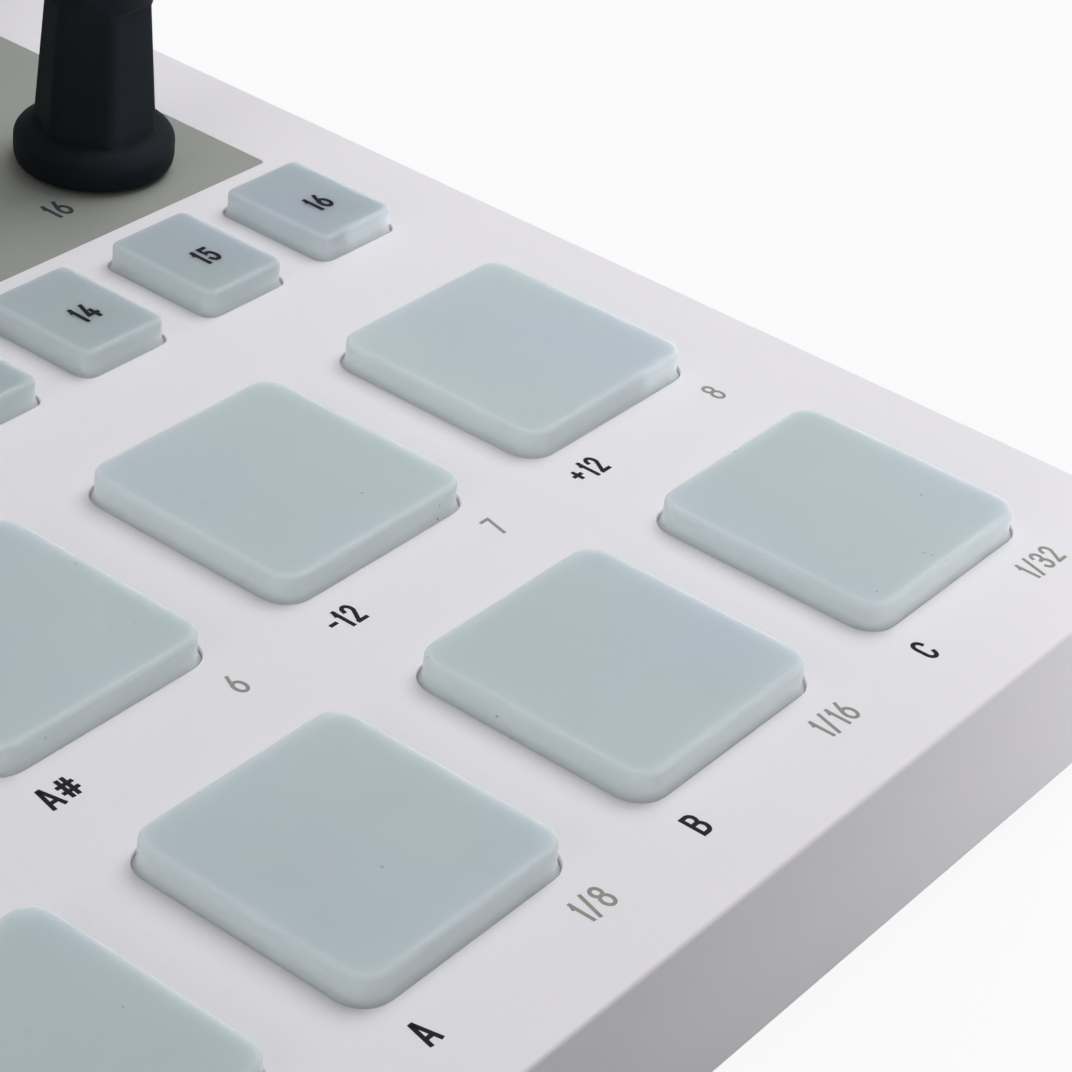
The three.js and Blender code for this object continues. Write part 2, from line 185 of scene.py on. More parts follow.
def chain(*parts):
    """Points and arcs joined into one path."""
    return np.concatenate([np.atleast_2d(np.asarray(part, float)) for part in parts])


def carry(loop_at, profile):
    """A grid of rings: the profile's first number moves the outline out, its second is the height."""
    rings = [loop_at(offset) for offset, _ in profile]
    return np.stack([np.c_[ring, np.full(len(ring), height)] for ring, (_, height) in zip(rings, profile)])


def rounded(corners, radius, profile):
    """A profile of offset and height, carried round a polygon whose corners are rounded."""
    return carry(lambda offset: outline(corners, radius, offset), profile)


def turned(centre, profile, around=32):
    """A profile of radius and height, carried round an axis."""
    return carry(lambda radius: circle(centre, radius, around), profile)


def stand_up(rows):
    """Turns points of X, height and depth into points of X, depth and height, and the other way."""
    return rows[..., [0, 2, 1]]


def smooth_step(value, low, high):
    """A smooth rise from 0 at low to 1 at high."""
    share = np.clip((value - low) / (high - low), 0, 1)
    return share * share * (3 - 2 * share)


class Skin:
    """The patches of one piece. Patches weld where they share points, and faces turn outwards."""

    def __init__(self):
        self.points = []
        self.faces = []
        self.marks = []
        self.count = 0

    def add(self, points, faces, mark=0):
        points = np.asarray(points, float).reshape(-1, 3)
        self.points.append(points)
        self.faces.extend((np.asarray(faces) + self.count).tolist())
        self.marks.extend([mark] * len(faces))
        self.count += len(points)

    def grid(self, rows, mark=0, looped=False, open_columns=()):
        """Quads between the rows of a grid whose columns go round. Open columns are left out."""
        high, wide = rows.shape[:2]
        if looped:
            rows = np.concatenate([rows, rows[:1]])
            high += 1
        columns = np.array([column for column in range(wide) if column not in open_columns])
        first = (np.arange(high - 1)[:, None] * wide + columns).ravel()
        second = (np.arange(high - 1)[:, None] * wide + (columns + 1) % wide).ravel()
        self.add(rows, np.c_[first, second, second + wide, first + wide], mark)

    def fan(self, ring, pole):
        """Triangles from a ring to one point."""
        index = np.arange(len(ring))
        faces = np.c_[index, (index + 1) % len(ring), np.full(len(ring), len(ring))]
        self.add(np.concatenate([ring, [pole]]), faces)

    def closed(self, rows, centre, turn=np.asarray):
        """A grid of rings about a centre, with a fan across each end. Turn places its points."""
        self.grid(turn(rows))
        for ring in (rows[0], rows[-1]):
            self.fan(turn(ring), turn(np.array([*centre, ring[0, 2]])))

    def fill(self, rings, turn=np.asarray):
        """A flat face inside the first ring and outside the others. Turn places its points."""
        loops = [(ring[:, :2] * FILL_SCALE).tolist() for ring in rings]
        self.add(turn(np.concatenate(rings)), tessellate_polygon(loops))

    def piece(self, name, *finishes):
        """Makes the object, with its place in its mesh."""
        mesh = bpy.data.meshes.new(name)
        mesh.from_pydata(np.concatenate(self.points).tolist(), [], self.faces)
        mesh.polygons.foreach_set("material_index", np.array(self.marks, np.int32))
        work = bmesh.new()
        work.from_mesh(mesh)
        bmesh.ops.remove_doubles(work, verts=work.verts, dist=WELD_DISTANCE)
        bmesh.ops.recalc_face_normals(work, faces=work.faces)
        work.to_mesh(mesh)
        work.free()
        mesh.shade_smooth()
        mesh.set_sharp_from_angle(angle=SHARP_ANGLE)
        for finish_name in finishes:
            mesh.materials.append(finish(finish_name))
        made = bpy.data.objects.new(name, mesh)
        bpy.context.scene.collection.objects.link(made)
        return made


def mark_points(made, name, values):
    """Stores one number for each point of a piece."""
    attribute = made.data.attributes.new(name, "FLOAT", "POINT")
    attribute.data.foreach_set("value", values.astype(np.float32))


def points_of(made):
    """The points of a piece as an array."""
    points = np.empty(len(made.data.vertices) * 3, np.float32)
    made.data.vertices.foreach_get("co", points)
    return points.reshape(-1, 3).astype(float)


# Lettering


def line(*parts):
    """An open stroke."""
    return chain(*parts), False


def loop(*parts):
    """A closed stroke."""
    return chain(*parts), True


ZERO_ROUND = 0.22

# Each glyph's share of width to height, and its strokes in a box one unit high and one unit wide
GLYPHS = {
    "0": (0.50, [loop(arc((0.5, 1 - ZERO_ROUND), (0.5, ZERO_ROUND), 0, 180, 10),
                      arc((0.5, ZERO_ROUND), (0.5, ZERO_ROUND), 180, 360, 10))]),
    "1": (0.25, [line((0.9, 0), (0.9, 1)), line((0.3, 0.79), (0.9, 0.96))]),
    "2": (0.48, [line(arc((0.5, 0.73), (0.5, 0.27), 172, -28, 10), (0.06, 0.05)), line((0, 0), (1, 0))]),
    "3": (0.48, [line(arc((0.48, 0.76), (0.46, 0.24), 165, -90, 10), (0.34, 0.52)),
                 line(arc((0.48, 0.27), (0.52, 0.27), 88, -165, 11))]),
    "4": (0.54, [line((0.58, 1), (0, 0.26), (1, 0.26)), line((0.74, 0.52), (0.74, 0))]),
    "5": (0.48, [line((0.92, 1), (0.12, 1), (0.08, 0.55), arc((0.47, 0.33), (0.53, 0.33), 125, -160, 12))]),
    "6": (0.52, [loop(arc((0.5, 0.31), (0.5, 0.31), 0, 345, 18)), line((0.62, 1), (0.08, 0.5))]),
    "7": (0.46, [line((0, 1), (1, 1)), line((0.97, 0.94), (0.36, 0))]),
    "8": (0.52, [loop(arc((0.5, 0.77), (0.44, 0.23), 0, 345, 16)),
                 loop(arc((0.5, 0.28), (0.5, 0.28), 0, 345, 16))]),
    "9": (0.52, [loop(arc((0.5, 0.69), (0.5, 0.31), 0, 345, 18)), line((0.38, 0), (0.92, 0.5))]),
    "A": (0.58, [line((0, 0), (0.43, 1), (0.57, 1), (1, 0)), line((0.16, 0.27), (0.84, 0.27))]),
    "B": (0.55, [loop((0, 0), (0, 1), arc((0.5, 0.77), (0.44, 0.23), 90, -50, 8),
                      arc((0.5, 0.28), (0.5, 0.28), 50, -90, 8)), line((0.1, 0.54), (0.7, 0.54))]),
    "C": (0.52, [line(arc((0.5, 0.72), (0.5, 0.28), 12, 180, 10),
                      arc((0.5, 0.28), (0.5, 0.28), 180, 348, 10))]),
    "D": (0.54, [loop((0, 0), (0, 1), arc((0.42, 0.7), (0.58, 0.3), 90, 0, 6),
                      arc((0.42, 0.3), (0.58, 0.3), 0, -90, 6))]),
    "E": (0.46, [line((1, 1), (0, 1), (0, 0), (1, 0)), line((0, 0.53), (0.84, 0.53))]),
    "F": (0.44, [line((1, 1), (0, 1), (0, 0)), line((0, 0.5), (0.84, 0.5))]),
    "G": (0.54, [line(arc((0.5, 0.72), (0.5, 0.28), 12, 180, 10),
                      arc((0.5, 0.28), (0.5, 0.28), 180, 360, 10), (1, 0.46), (0.52, 0.46))]),
    "#": (0.68, [line((0.20, 0.06), (0.36, 0.94)), line((0.62, 0.06), (0.78, 0.94)),
                 line((0.04, 0.68), (1, 0.68)), line((0, 0.32), (0.96, 0.32))]),
    "/": (0.40, [line((0, -0.04), (1, 1.04))]),
    "+": (0.52, [line((0, 0.5), (0.84, 0.5)), line((0.42, 0.28), (0.42, 0.72))]),
    "-": (0.34, [line((0, 0.5), (1, 0.5))]),
    "<": (0.44, [line((1, 0.86), (0, 0.5), (1, 0.14))]),
    ">": (0.44, [line((0, 0.86), (1, 0.5), (0, 0.14))]),
    "=": (0.48, [line((0, 0.66), (1, 0.66)), line((0, 0.34), (1, 0.34))]),
}
LETTER_GAP = 0.12
INK_RISE = 2e-5
INK_SINK = 2e-5
STROKES_TO_DOUBLE = 40


def written(text, height, stroke, anchor=0.5):
    """Paths of a line of text. Its height is centred at 0, and the anchor is 0 left, 0.5 middle, 1 right."""
    widths = [GLYPHS[letter][0] * height for letter in text]
    total = sum(widths) + LETTER_GAP * height * (len(text) - 1)
    start = -anchor * total
    paths = []
    for letter, width in zip(text, widths):
        reach = np.array([width - stroke, height - stroke])
        corner = np.array([start + stroke / 2, (stroke - height) / 2])
        paths += [(path * reach + corner, closed) for path, closed in GLYPHS[letter][1]]
        start += width + LETTER_GAP * height
    return paths


def moved(paths, x, y):
    """Paths moved to a place."""
    return [(path + (x, y), closed) for path, closed in paths]


def stroke_edges(path, closed, width):
    """Both edges of a stroke: each point moves half the width along the mitre of its two sides.

    An open stroke runs on past its ends by half its width.
    """
    ahead = np.roll(path, -1, 0) - path
    if not closed:
        ahead[-1] = ahead[-2]
    ahead /= np.linalg.norm(ahead, axis=1, keepdims=True)
    behind = np.roll(ahead, 1, 0)
    if not closed:
        behind[0] = ahead[0]
        path = path + np.concatenate([-ahead[:1], np.zeros((len(path) - 2, 2)), ahead[-1:]]) * width / 2
    both = np.c_[-(ahead + behind)[:, 1], (ahead + behind)[:, 0]]
    mitre = both / np.maximum((both**2).sum(1) / 2, 0.5)[:, None]
    return path + mitre * width / 2, path - mitre * width / 2


def lay_strokes(skin, paths, width, place, mark=0, rise=INK_RISE, sink=INK_SINK):
    """Lays strokes as thin closed slabs. Each lies a little deeper and higher than the one before."""
    for index, (path, closed) in enumerate(paths):
        left, right = stroke_edges(path, closed, width)
        high = rise * (1 + index / STROKES_TO_DOUBLE)
        low = -sink * (1 + index / STROKES_TO_DOUBLE)
        sides = [(left, high), (left, low), (right, low), (right, high)]
        rows = np.stack([place(np.c_[side, np.full(len(path), height)]) for side, height in sides], 1)
        skin.grid(rows, mark, looped=closed)
        if not closed:
            skin.add(rows[[0, -1]].reshape(-1, 3), [[3, 2, 1, 0], [4, 5, 6, 7]], mark)


def lay_text(skin, text, height, stroke, place, anchor=0.5, mark=0):
    """Lays a line of text."""
    lay_strokes(skin, written(text, height, stroke, anchor), stroke, place, mark)


def on_top(x, y, height):
    """Places strokes on a face that looks up, read from the front."""
    return lambda points: points + (x, y, height)


def on_back(x, z, depth):
    """Places strokes on a face that looks back, read from behind."""
    return lambda points: np.c_[x - points[:, 0], depth + points[:, 2], z + points[:, 1]]


# Finishes

# Most of a noise's values lie in this range
NOISE_RANGE = (0.3, 0.7)
ROUGHNESS_SPREAD = 0.04


class Nodes:
    """Short ways to add and join the nodes of a material or a world."""

    def __init__(self, owner):
        owner.use_nodes = True
        self.tree = owner.node_tree
        self.tree.nodes.clear()

    def add(self, kind, **values):
        node = self.tree.nodes.new(kind)
        for name, value in values.items():
            setattr(node, name, value)
        return node

    def join(self, source, target):
        """Links an output to an input, or sets the input to a value."""
        if hasattr(source, "is_output"):
            self.tree.links.new(source, target)
        else:
            target.default_value = source

    def math(self, operation, first, second):
        node = self.add("ShaderNodeMath", operation=operation)
        self.join(first, node.inputs[0])
        self.join(second, node.inputs[1])
        return node.outputs[0]

    def mix(self, share, first, second):
        """A mix of two shaders."""
        node = self.add("ShaderNodeMixShader")
        for source, target in zip((share, first, second), node.inputs):
            self.join(source, target)
        return node.outputs[0]


class MaterialNodes(Nodes):
    """The nodes of one material, with patterns on Object coordinates."""

    def __init__(self, name):
        self.material = bpy.data.materials.new(name)
        super().__init__(self.material)
        self.place = self.add("ShaderNodeTexCoord").outputs["Object"]
        self.shader = self.add("ShaderNodeBsdfPrincipled")
        self.output = self.add("ShaderNodeOutputMaterial")
        self.join(self.shader.outputs[0], self.output.inputs["Surface"])

    def noise(self, scale, detail=2.0, roughness=0.5, stretch=None):
        node = self.add("ShaderNodeTexNoise")
        node.inputs["Scale"].default_value = scale
        node.inputs["Detail"].default_value = detail
        node.inputs["Roughness"].default_value = roughness
        place = self.place
        if stretch:
            mapping = self.add("ShaderNodeMapping")
            mapping.inputs["Scale"].default_value = stretch
            self.join(place, mapping.inputs["Vector"])
            place = mapping.outputs[0]
        self.join(place, node.inputs["Vector"])
        return node.outputs["Fac"]

    def spread(self, value, low, high, to_low=0.0, to_high=1.0):
        """A value spread from one range to another."""
        node = self.add("ShaderNodeMapRange")
        names = ("Value", "From Min", "From Max", "To Min", "To Max")
        for name, number_or_link in zip(names, (value, low, high, to_low, to_high)):
            self.join(number_or_link, node.inputs[name])
        return node.outputs[0]

    def blend(self, share, first, second):
        """A blend of two colours."""
        node = self.add("ShaderNodeMix", data_type="RGBA")
        self.join(share, node.inputs["Factor"])
        for value, target in ((first, node.inputs[6]), (second, node.inputs[7])):
            self.join(value if hasattr(value, "is_output") else (*value, 1), target)
        return node.outputs[2]

    def paint(self, colour):
        self.join(colour, self.shader.inputs["Base Color"])

    def roughen(self, value, low, high, to_low, to_high):
        self.join(self.spread(value, low, high, to_low, to_high), self.shader.inputs["Roughness"])

    def bump(self, height, distance):
        node = self.add("ShaderNodeBump")
        node.inputs["Distance"].default_value = distance
        self.join(height, node.inputs["Height"])
        self.join(node.outputs[0], self.shader.inputs["Normal"])

    def set(self, **sockets):
        """Sets the shader's own sockets. An underscore stands for a space."""
        for name, value in sockets.items():
            self.shader.inputs[name.replace("_", " ")].default_value = value


def shade(colour, share):
    """A colour made lighter or darker by a share."""
    return tuple(min(1.0, channel * (1 + share)) for channel in colour)


def moulded(name, colour, roughness, mottle, grain, **sockets):
    """A moulded or painted finish. Mottle is its scale and share, grain its scale and depth."""
    nodes = MaterialNodes(name)
    cloud = nodes.spread(nodes.noise(mottle[0], detail=3.0), *NOISE_RANGE)
    nodes.paint(nodes.blend(cloud, shade(colour, -mottle[1]), shade(colour, mottle[1])))
    fine = nodes.noise(grain[0], roughness=0.6)
    nodes.roughen(fine, 0.25, 0.75, roughness - ROUGHNESS_SPREAD, roughness + ROUGHNESS_SPREAD)
    nodes.bump(fine, grain[1])
    nodes.set(**sockets)
    return nodes.material


def case_plastic():
    """White moulded plastic: a spark-eroded grain, slow clouds of tone and a faint warm dust."""
    colour = settings().case.colour
    dust_colour = (0.52, 0.50, 0.47)
    nodes = MaterialNodes("case_plastic")
    cloud = nodes.spread(nodes.noise(14, detail=4.0), *NOISE_RANGE)
    base = nodes.blend(cloud, shade(colour, -0.012), shade(colour, 0.012))
    dust = nodes.spread(nodes.noise(900, roughness=0.7), 0.68, 0.8, to_high=0.10)
    nodes.paint(nodes.blend(dust, base, dust_colour))
    fine = nodes.noise(3600, roughness=0.6)
    coarse = nodes.noise(1300)
    nodes.roughen(fine, *NOISE_RANGE, 0.50, 0.60)
    nodes.bump(nodes.math("ADD", fine, nodes.math("MULTIPLY", coarse, 0.8)), 1.1e-5)
    nodes.set(Specular_IOR_Level=0.4)
    return nodes.material


def milky_silicone(name, colour, painted_side_light):
    """Milky silicone: light spreads in it, its sides carry painted light, clouds of blue drift through it,
    and fine dust clings to it.
    """
    grey_share, blue_shares = 0.55, (1.0, 0.965, 1.07)
    dust_colour = (0.10, 0.11, 0.11)
    nodes = MaterialNodes(name)
    rim = nodes.add("ShaderNodeAttribute", attribute_name="rim").outputs["Fac"]
    cloud = nodes.spread(nodes.noise(55, detail=3.0), 0.32, 0.68)
    blush = nodes.spread(nodes.noise(46, 3.0, 0.45, stretch=(1, 1, 0.2)), 0.44, 0.68, to_high=0.65)
    top = nodes.blend(cloud, shade(colour, -0.02), shade(colour, 0.02))
    top = nodes.blend(blush, top, [channel * share for channel, share in zip(colour, blue_shares)])
    # Painted light: the sides get a greyer colour, lightened by the painted side light and blended in by the
    # rim value, most at the foot
    grey = sum(colour) / 3
    side = shade([channel * (1 - grey_share) + grey * grey_share for channel in colour], painted_side_light)
    body = nodes.blend(rim, top, side)
    cells = nodes.add("ShaderNodeTexVoronoi", feature="F1")
    cells.inputs["Scale"].default_value = 620
    nodes.join(nodes.place, cells.inputs["Vector"])
    specks = nodes.spread(cells.outputs["Distance"], 0.04, 0.11, to_low=1.0, to_high=0.0)
    chosen = nodes.spread(nodes.noise(240, detail=1.0), 0.62, 0.66)
    dust = nodes.math("MULTIPLY", nodes.math("MULTIPLY", specks, chosen), 0.5)
    nodes.paint(nodes.blend(dust, body, dust_colour))
    fine = nodes.noise(2600, roughness=0.6)
    nodes.roughen(fine, *NOISE_RANGE, 0.46, 0.54)
    nodes.bump(fine, 5e-6)
    nodes.set(Subsurface_Weight=1.0, Subsurface_Radius=(1.0, 1.0, 1.0), Subsurface_Scale=0.004,
              Specular_IOR_Level=0.2)
    return nodes.material


def pad_silicone():
    looks = settings().keys
    return milky_silicone("milky_silicone", looks.colour, looks.painted_side_light)


def button_silicone():
    looks = settings().keys
    return milky_silicone("button_silicone", looks.button_colour, looks.button_painted_side_light)


def board_finish():
    """Green solder mask on the board's faces, and dark parts above and below it."""
    mask_film = 0.00015
    nodes = MaterialNodes("board_finish")
    split = nodes.add("ShaderNodeSeparateXYZ")
    nodes.join(nodes.place, split.inputs[0])
    above = nodes.math("GREATER_THAN", split.outputs[2], BOARD_BOTTOM + BOARD_THICKNESS + mask_film)
    below = nodes.math("LESS_THAN", split.outputs[2], BOARD_BOTTOM - mask_film)
    mask = nodes.blend(nodes.noise(90, detail=3.0), (0.012, 0.075, 0.03), (0.02, 0.11, 0.045))
    nodes.paint(nodes.blend(nodes.math("MAXIMUM", above, below), mask, (0.012, 0.012, 0.013)))
    fine = nodes.noise(1500)
    nodes.roughen(fine, *NOISE_RANGE, 0.32, 0.46)
    nodes.bump(fine, 8e-6)
    return nodes.material


def pale_floor(looks):
    """Pale floor that the camera sees almost white, with what is left of the object's shadow."""
    nodes = MaterialNodes("pale_floor")
    nodes.paint(nodes.blend(nodes.noise(2), shade(looks.floor_colour, -0.01), looks.floor_colour))
    nodes.set(Roughness=0.9, Specular_IOR_Level=0.1)
    glow = nodes.add("ShaderNodeEmission")
    glow.inputs["Strength"].default_value = 1.0
    path = nodes.add("ShaderNodeLightPath")
    seen = nodes.math("MAXIMUM", path.outputs["Is Camera Ray"], path.outputs["Is Glossy Ray"])
    share = nodes.math("MULTIPLY", seen, looks.floor_glow)
    nodes.join(nodes.mix(share, nodes.shader.outputs[0], glow.outputs[0]), nodes.output.inputs["Surface"])
    return nodes.material


def plain_finishes():
    """Material, colour, roughness, mottle and grain of each plain finish, and its other sockets."""
    looks = settings()
    ink = looks.lettering
    matt = {"Specular_IOR_Level": 0.12}
    metal = {"Metallic": 1.0}
    return {
        "panel": ("printed_panel", looks.panels.colour, 0.5, (60, 0.03), (2400, 6e-6),
                  {"Specular_IOR_Level": 0.4}),
        "soft_touch": ("soft_touch_rubber", looks.knobs.colour, 0.68, (160, 0.10), (2800, 7e-6),
                       {"Specular_IOR_Level": 0.06, "Sheen_Weight": 0.02, "Sheen_Roughness": 0.5}),
        "dark_ink": ("dark_ink", ink.dark_colour, 0.7, (700, 0.12), (2600, 3e-6), matt),
        "grey_ink": ("grey_ink", ink.grey_colour, 0.7, (700, 0.06), (2600, 3e-6), matt),
        "panel_ink": ("panel_ink", ink.panel_colour, 0.7, (700, 0.12), (2600, 3e-6), matt),
        "window": ("smoked_window", (0.018, 0.010, 0.012), 0.12, (40, 0.15), (60, 2e-6),
                   {"Coat_Weight": 0.5, "Coat_Roughness": 0.06}),
        "digits": ("unlit_digits", (0.055, 0.020, 0.020), 0.25, (400, 0.1), (900, 2e-6), {}),
        "steel": ("powder_coated_steel", (0.043, 0.044, 0.047), 0.55, (30, 0.10), (1500, 2.2e-5),
                  {"Metallic": 0.3}),
        "rubber": ("foot_rubber", (0.018, 0.019, 0.020), 0.85, (120, 0.15), (1700, 1.5e-5), {}),
        "plating": ("nickel_plating", (0.62, 0.61, 0.58), 0.28, (500, 0.05), (1200, 4e-6), metal),
        "black_plastic": ("black_plastic", (0.013, 0.013, 0.014), 0.42, (90, 0.15), (2200, 6e-6), {}),
        "screw": ("blackened_screw", (0.07, 0.07, 0.075), 0.38, (800, 0.12), (2000, 5e-6), metal),
    }


OWN_FINISHES = {"case": case_plastic, "silicone": pad_silicone, "button_silicone": button_silicone,
                "board": board_finish}
MADE_FINISHES = {}


def finish(name):
    """The finish of that name, made once."""
    if name not in MADE_FINISHES:
        if name in OWN_FINISHES:
            MADE_FINISHES[name] = OWN_FINISHES[name]()
        else:
            *values, sockets = plain_finishes()[name]
            MADE_FINISHES[name] = moulded(*values, **sockets)
    return MADE_FINISHES[name]


# Keys

FLANGE_CHAMFER = 0.0002
SKIRT_BEVEL_HEIGHT = 0.0001
SKIRT_BEVEL_WIDTH = 0.00004
FLARE_WIDTH_SHARE = 0.2
FLARE_HEIGHT_SHARE = 0.6
SKIRT_ROWS = slice(4, 8)
EDGE_STEPS = 8
EDGE_LEAD = 0.0002
CROWN_LEAD = 0.0004
CROWN_SHARE = 0.98
CROWN_RING_SHARES = np.array([0.8, 0.55, 0.28])
RECORD_POINTS = 24
KEY_INK_RISE = 1.5e-5
TRANSPORT_MARK = 0.0024
TRANSPORT_STROKE_SHARE = 0.32
TRANSPORT_SHARES = {"record": (0.84, 0.56, 0.28), "stop": (0.9, 0.6, 0.3), "play": (0.82, 0.52, 0.24)}
STOP_HALF_SHARE = 0.8
STOP_CORNER = 0.0001
PLAY_CORNER_SHARES = np.array([(-0.72, -0.95), (1.0, 0), (-0.72, 0.95)])
PLAY_SHIFT_SHARE = 0.12


def key_corners(node):
    """Corners of a key's cap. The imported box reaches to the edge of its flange."""
    low, high = box(node)
    inset = KEY_SLOT + KEY_FLANGE_LIP
    return rectangle(low[:2] + inset, high[:2] - inset)


def key_radius(node):
    looks = settings().keys
    return looks.pad_corner if node in PADS else looks.step_corner


def key_profile(node, looks):
    """Offsets and heights from the flange's underside up to the flat of the cap.

    A skirt rises from the flange into the slot, and the cap's foot flares out to it. The cap's edge
    is a quarter of an ellipse, and its side leans in by the draft. The flat then bulges to the crown
    in the middle.
    """
    low, high = box(node)
    flange_top = CEILING - SEAT_GAP
    lip = KEY_SLOT + KEY_FLANGE_LIP
    skirt = CASE_TOP - looks.skirt_depth
    wide = looks.skirt_width
    side = -looks.draft
    edge = arc((side - looks.edge_width, high[2] - looks.crown - looks.edge_height),
               (looks.edge_width, looks.edge_height), 0, 90, EDGE_STEPS)
    return chain((lip - FLANGE_CHAMFER, low[2]), (lip, low[2] + FLANGE_CHAMFER), (lip, flange_top),
                 (wide, flange_top), (wide, skirt - SKIRT_BEVEL_HEIGHT), (wide - SKIRT_BEVEL_WIDTH, skirt),
                 (wide * FLARE_WIDTH_SHARE, skirt + looks.flare * FLARE_HEIGHT_SHARE),
                 (0, skirt + looks.flare), (side, edge[0, 1] - EDGE_LEAD), edge,
                 (side - looks.edge_width - CROWN_LEAD, high[2] - looks.crown * CROWN_SHARE))


def outline_distance(points, corners, radius):
    """Distance of each point outside a rounded rectangle, negative inside it."""
    centre = (corners[0] + corners[2]) / 2
    half = (corners[2] - corners[0]) / 2
    past = np.abs(points[:, :2] - centre) - (half - radius)
    outside = np.linalg.norm(np.maximum(past, 0), axis=1)
    return outside + np.minimum(past.max(1), 0) - radius


def key_cap(node, marks=(), stroke=0.0):
    """A cap on its flange, with its printed marks. Rings shrink from the edge to the middle.

    The skirt dips round the corners, where the slot shows as a dark crescent. The crown falls with
    the cube of a ring's share of the way out.
    """
    looks = settings().keys
    corners = key_corners(node)
    radius = key_radius(node)
    top = box(node)[1][2]
    centre = (corners[0] + corners[2]) / 2
    rows = rounded(corners, radius, key_profile(node, looks))
    bend = np.abs(rows[SKIRT_ROWS.start, :, :2] - centre) - (corners[2] - corners[0]) / 2 + radius
    rows[SKIRT_ROWS, :, 2] -= looks.corner_dip * smooth_step(bend.min(1), 0.0, radius / 2)
    shares = CROWN_RING_SHARES[:, None, None]
    inner = rows[-1][None, :, :2] * shares + centre * (1 - shares)
    heights = top - looks.crown * shares**3 * CROWN_SHARE
    inner = np.concatenate([inner, np.broadcast_to(heights, (*inner.shape[:2], 1))], 2)
    skin = Skin()
    skin.grid(np.concatenate([rows, inner]))
    skin.fan(rows[0], (*centre, rows[0, 0, 2]))
    skin.fan(inner[-1], (*centre, top))
    lay_strokes(skin, marks, stroke, on_top(0, 0, top), 1, rise=KEY_INK_RISE, sink=looks.crown)
    made = skin.piece(node + "_cap", "silicone" if node in PADS else "button_silicone", "dark_ink")
    points = points_of(made)
    # Painted light: the rim value sets how much of the lighter, greyer side colour is painted in, a little at
    # the top edge and most at the foot
    side = smooth_step(outline_distance(points, corners, radius), -looks.painted_rim_width, 0.0)
    depth = np.clip((top - points[:, 2]) / (top - CASE_TOP), 0, 1)
    mark_points(made, "rim", side * (looks.painted_edge_share + (1 - looks.painted_edge_share) * depth))
    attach(made, node)
    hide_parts(node)


def transport_marks(node, size):
    """A ring, a square or a triangle, drawn as strokes one inside the other that fill it."""
    kind = node.rsplit("_", 1)[1]
    half = size * STOP_HALF_SHARE
    shapes = {
        "record": lambda share: circle((0, 0), size * share, RECORD_POINTS),
        "stop": lambda share: outline(rectangle((-half * share, -half * share), (half * share, half * share)),
                                      STOP_CORNER),
        "play": lambda share: size * share * PLAY_CORNER_SHARES + (size * PLAY_SHIFT_SHARE, 0),
    }
    return [loop(shapes[kind](share)) for share in TRANSPORT_SHARES[kind]]


# Knobs

KNOB_AROUND = 96
FLANGE_RINGS = 9
BODY_RINGS = 6
RUN_OUT_RINGS = 9
DISH_RINGS = 6
KNOB_ROLL_STEPS = 5
FILLET_RISES = np.array([0.00004, 0.00015, 0.0004])
BODY_START = 0.001
COLLAR_LEAD = 0.0002
TOP_LEAD = 0.0003
FILLET_POWER = 24
LEAST_FACING = 1e-3
DISH_RIM = 0.0004
DISH_MIDDLE = 0.0006


def knob_rows(centre, bottom, top, looks):
    """Radius by angle and height.

    The flange is a disc whose rim is upright, with a quarter ellipse below it and a wider one, the
    shoulder, above it. The body is a cone cut by flats whose distance from the axis is the cone's
    radius times the cosine of half a flat; near the collar the flats run out at 45 degrees. Cone and
    flats join as a power mean, which rounds the ridges, and so do body and flange, with a fillet.
    """
    angle = np.linspace(0, 2 * np.pi, KNOB_AROUND, endpoint=False)
    height = top - bottom
    collar = height - looks.collar_height
    run_out = collar - looks.run_out
    quarter = np.linspace(0, np.pi / 2, FLANGE_RINGS)
    shoulder = looks.flange_height - looks.rim_top
    up = np.concatenate([
        looks.rim_bottom * (1 - np.cos(quarter)),
        looks.rim_top + shoulder * np.sin(quarter),
        looks.flange_height + FILLET_RISES,
        np.linspace(looks.flange_height + BODY_START, run_out, BODY_RINGS),
        np.linspace(run_out, collar + COLLAR_LEAD, RUN_OUT_RINGS)[1:],
        [height - looks.top_round - TOP_LEAD, height - looks.top_round],
    ])
    taper = np.interp(up, [looks.flange_height, collar], [looks.body_radius, looks.top_radius])[:, None]
    slack = np.cos(np.pi / KNOB_FLUTES)
    flat = taper * slack + np.maximum(up - run_out, 0)[:, None]
    turns = (np.arange(KNOB_FLUTES) + 0.5) * 2 * np.pi / KNOB_FLUTES
    facing = np.maximum(np.cos(angle[:, None] - turns), LEAST_FACING)
    power = looks.ridge_sharpness
    flats = ((facing[None] / flat[:, :, None]) ** power).sum(2)
    body = (flats + taper**-power) ** (-1 / power)
    past = np.clip((up - looks.rim_top) / shoulder, 0, 1)
    below = np.clip((looks.rim_bottom - up) / looks.rim_bottom, 0, 1)
    flange = looks.flange_radius - looks.shoulder_width * (1 - np.sqrt(1 - past**2))
    flange = (flange - looks.flange_tuck * (1 - np.sqrt(1 - below**2))) * (up <= looks.flange_height)
    radius = (body**FILLET_POWER + flange[:, None] ** FILLET_POWER) ** (1 / FILLET_POWER)
    return np.stack([centre[0] + radius * np.cos(angle), centre[1] + radius * np.sin(angle),
                     np.broadcast_to(bottom + up[:, None], radius.shape)], 2)


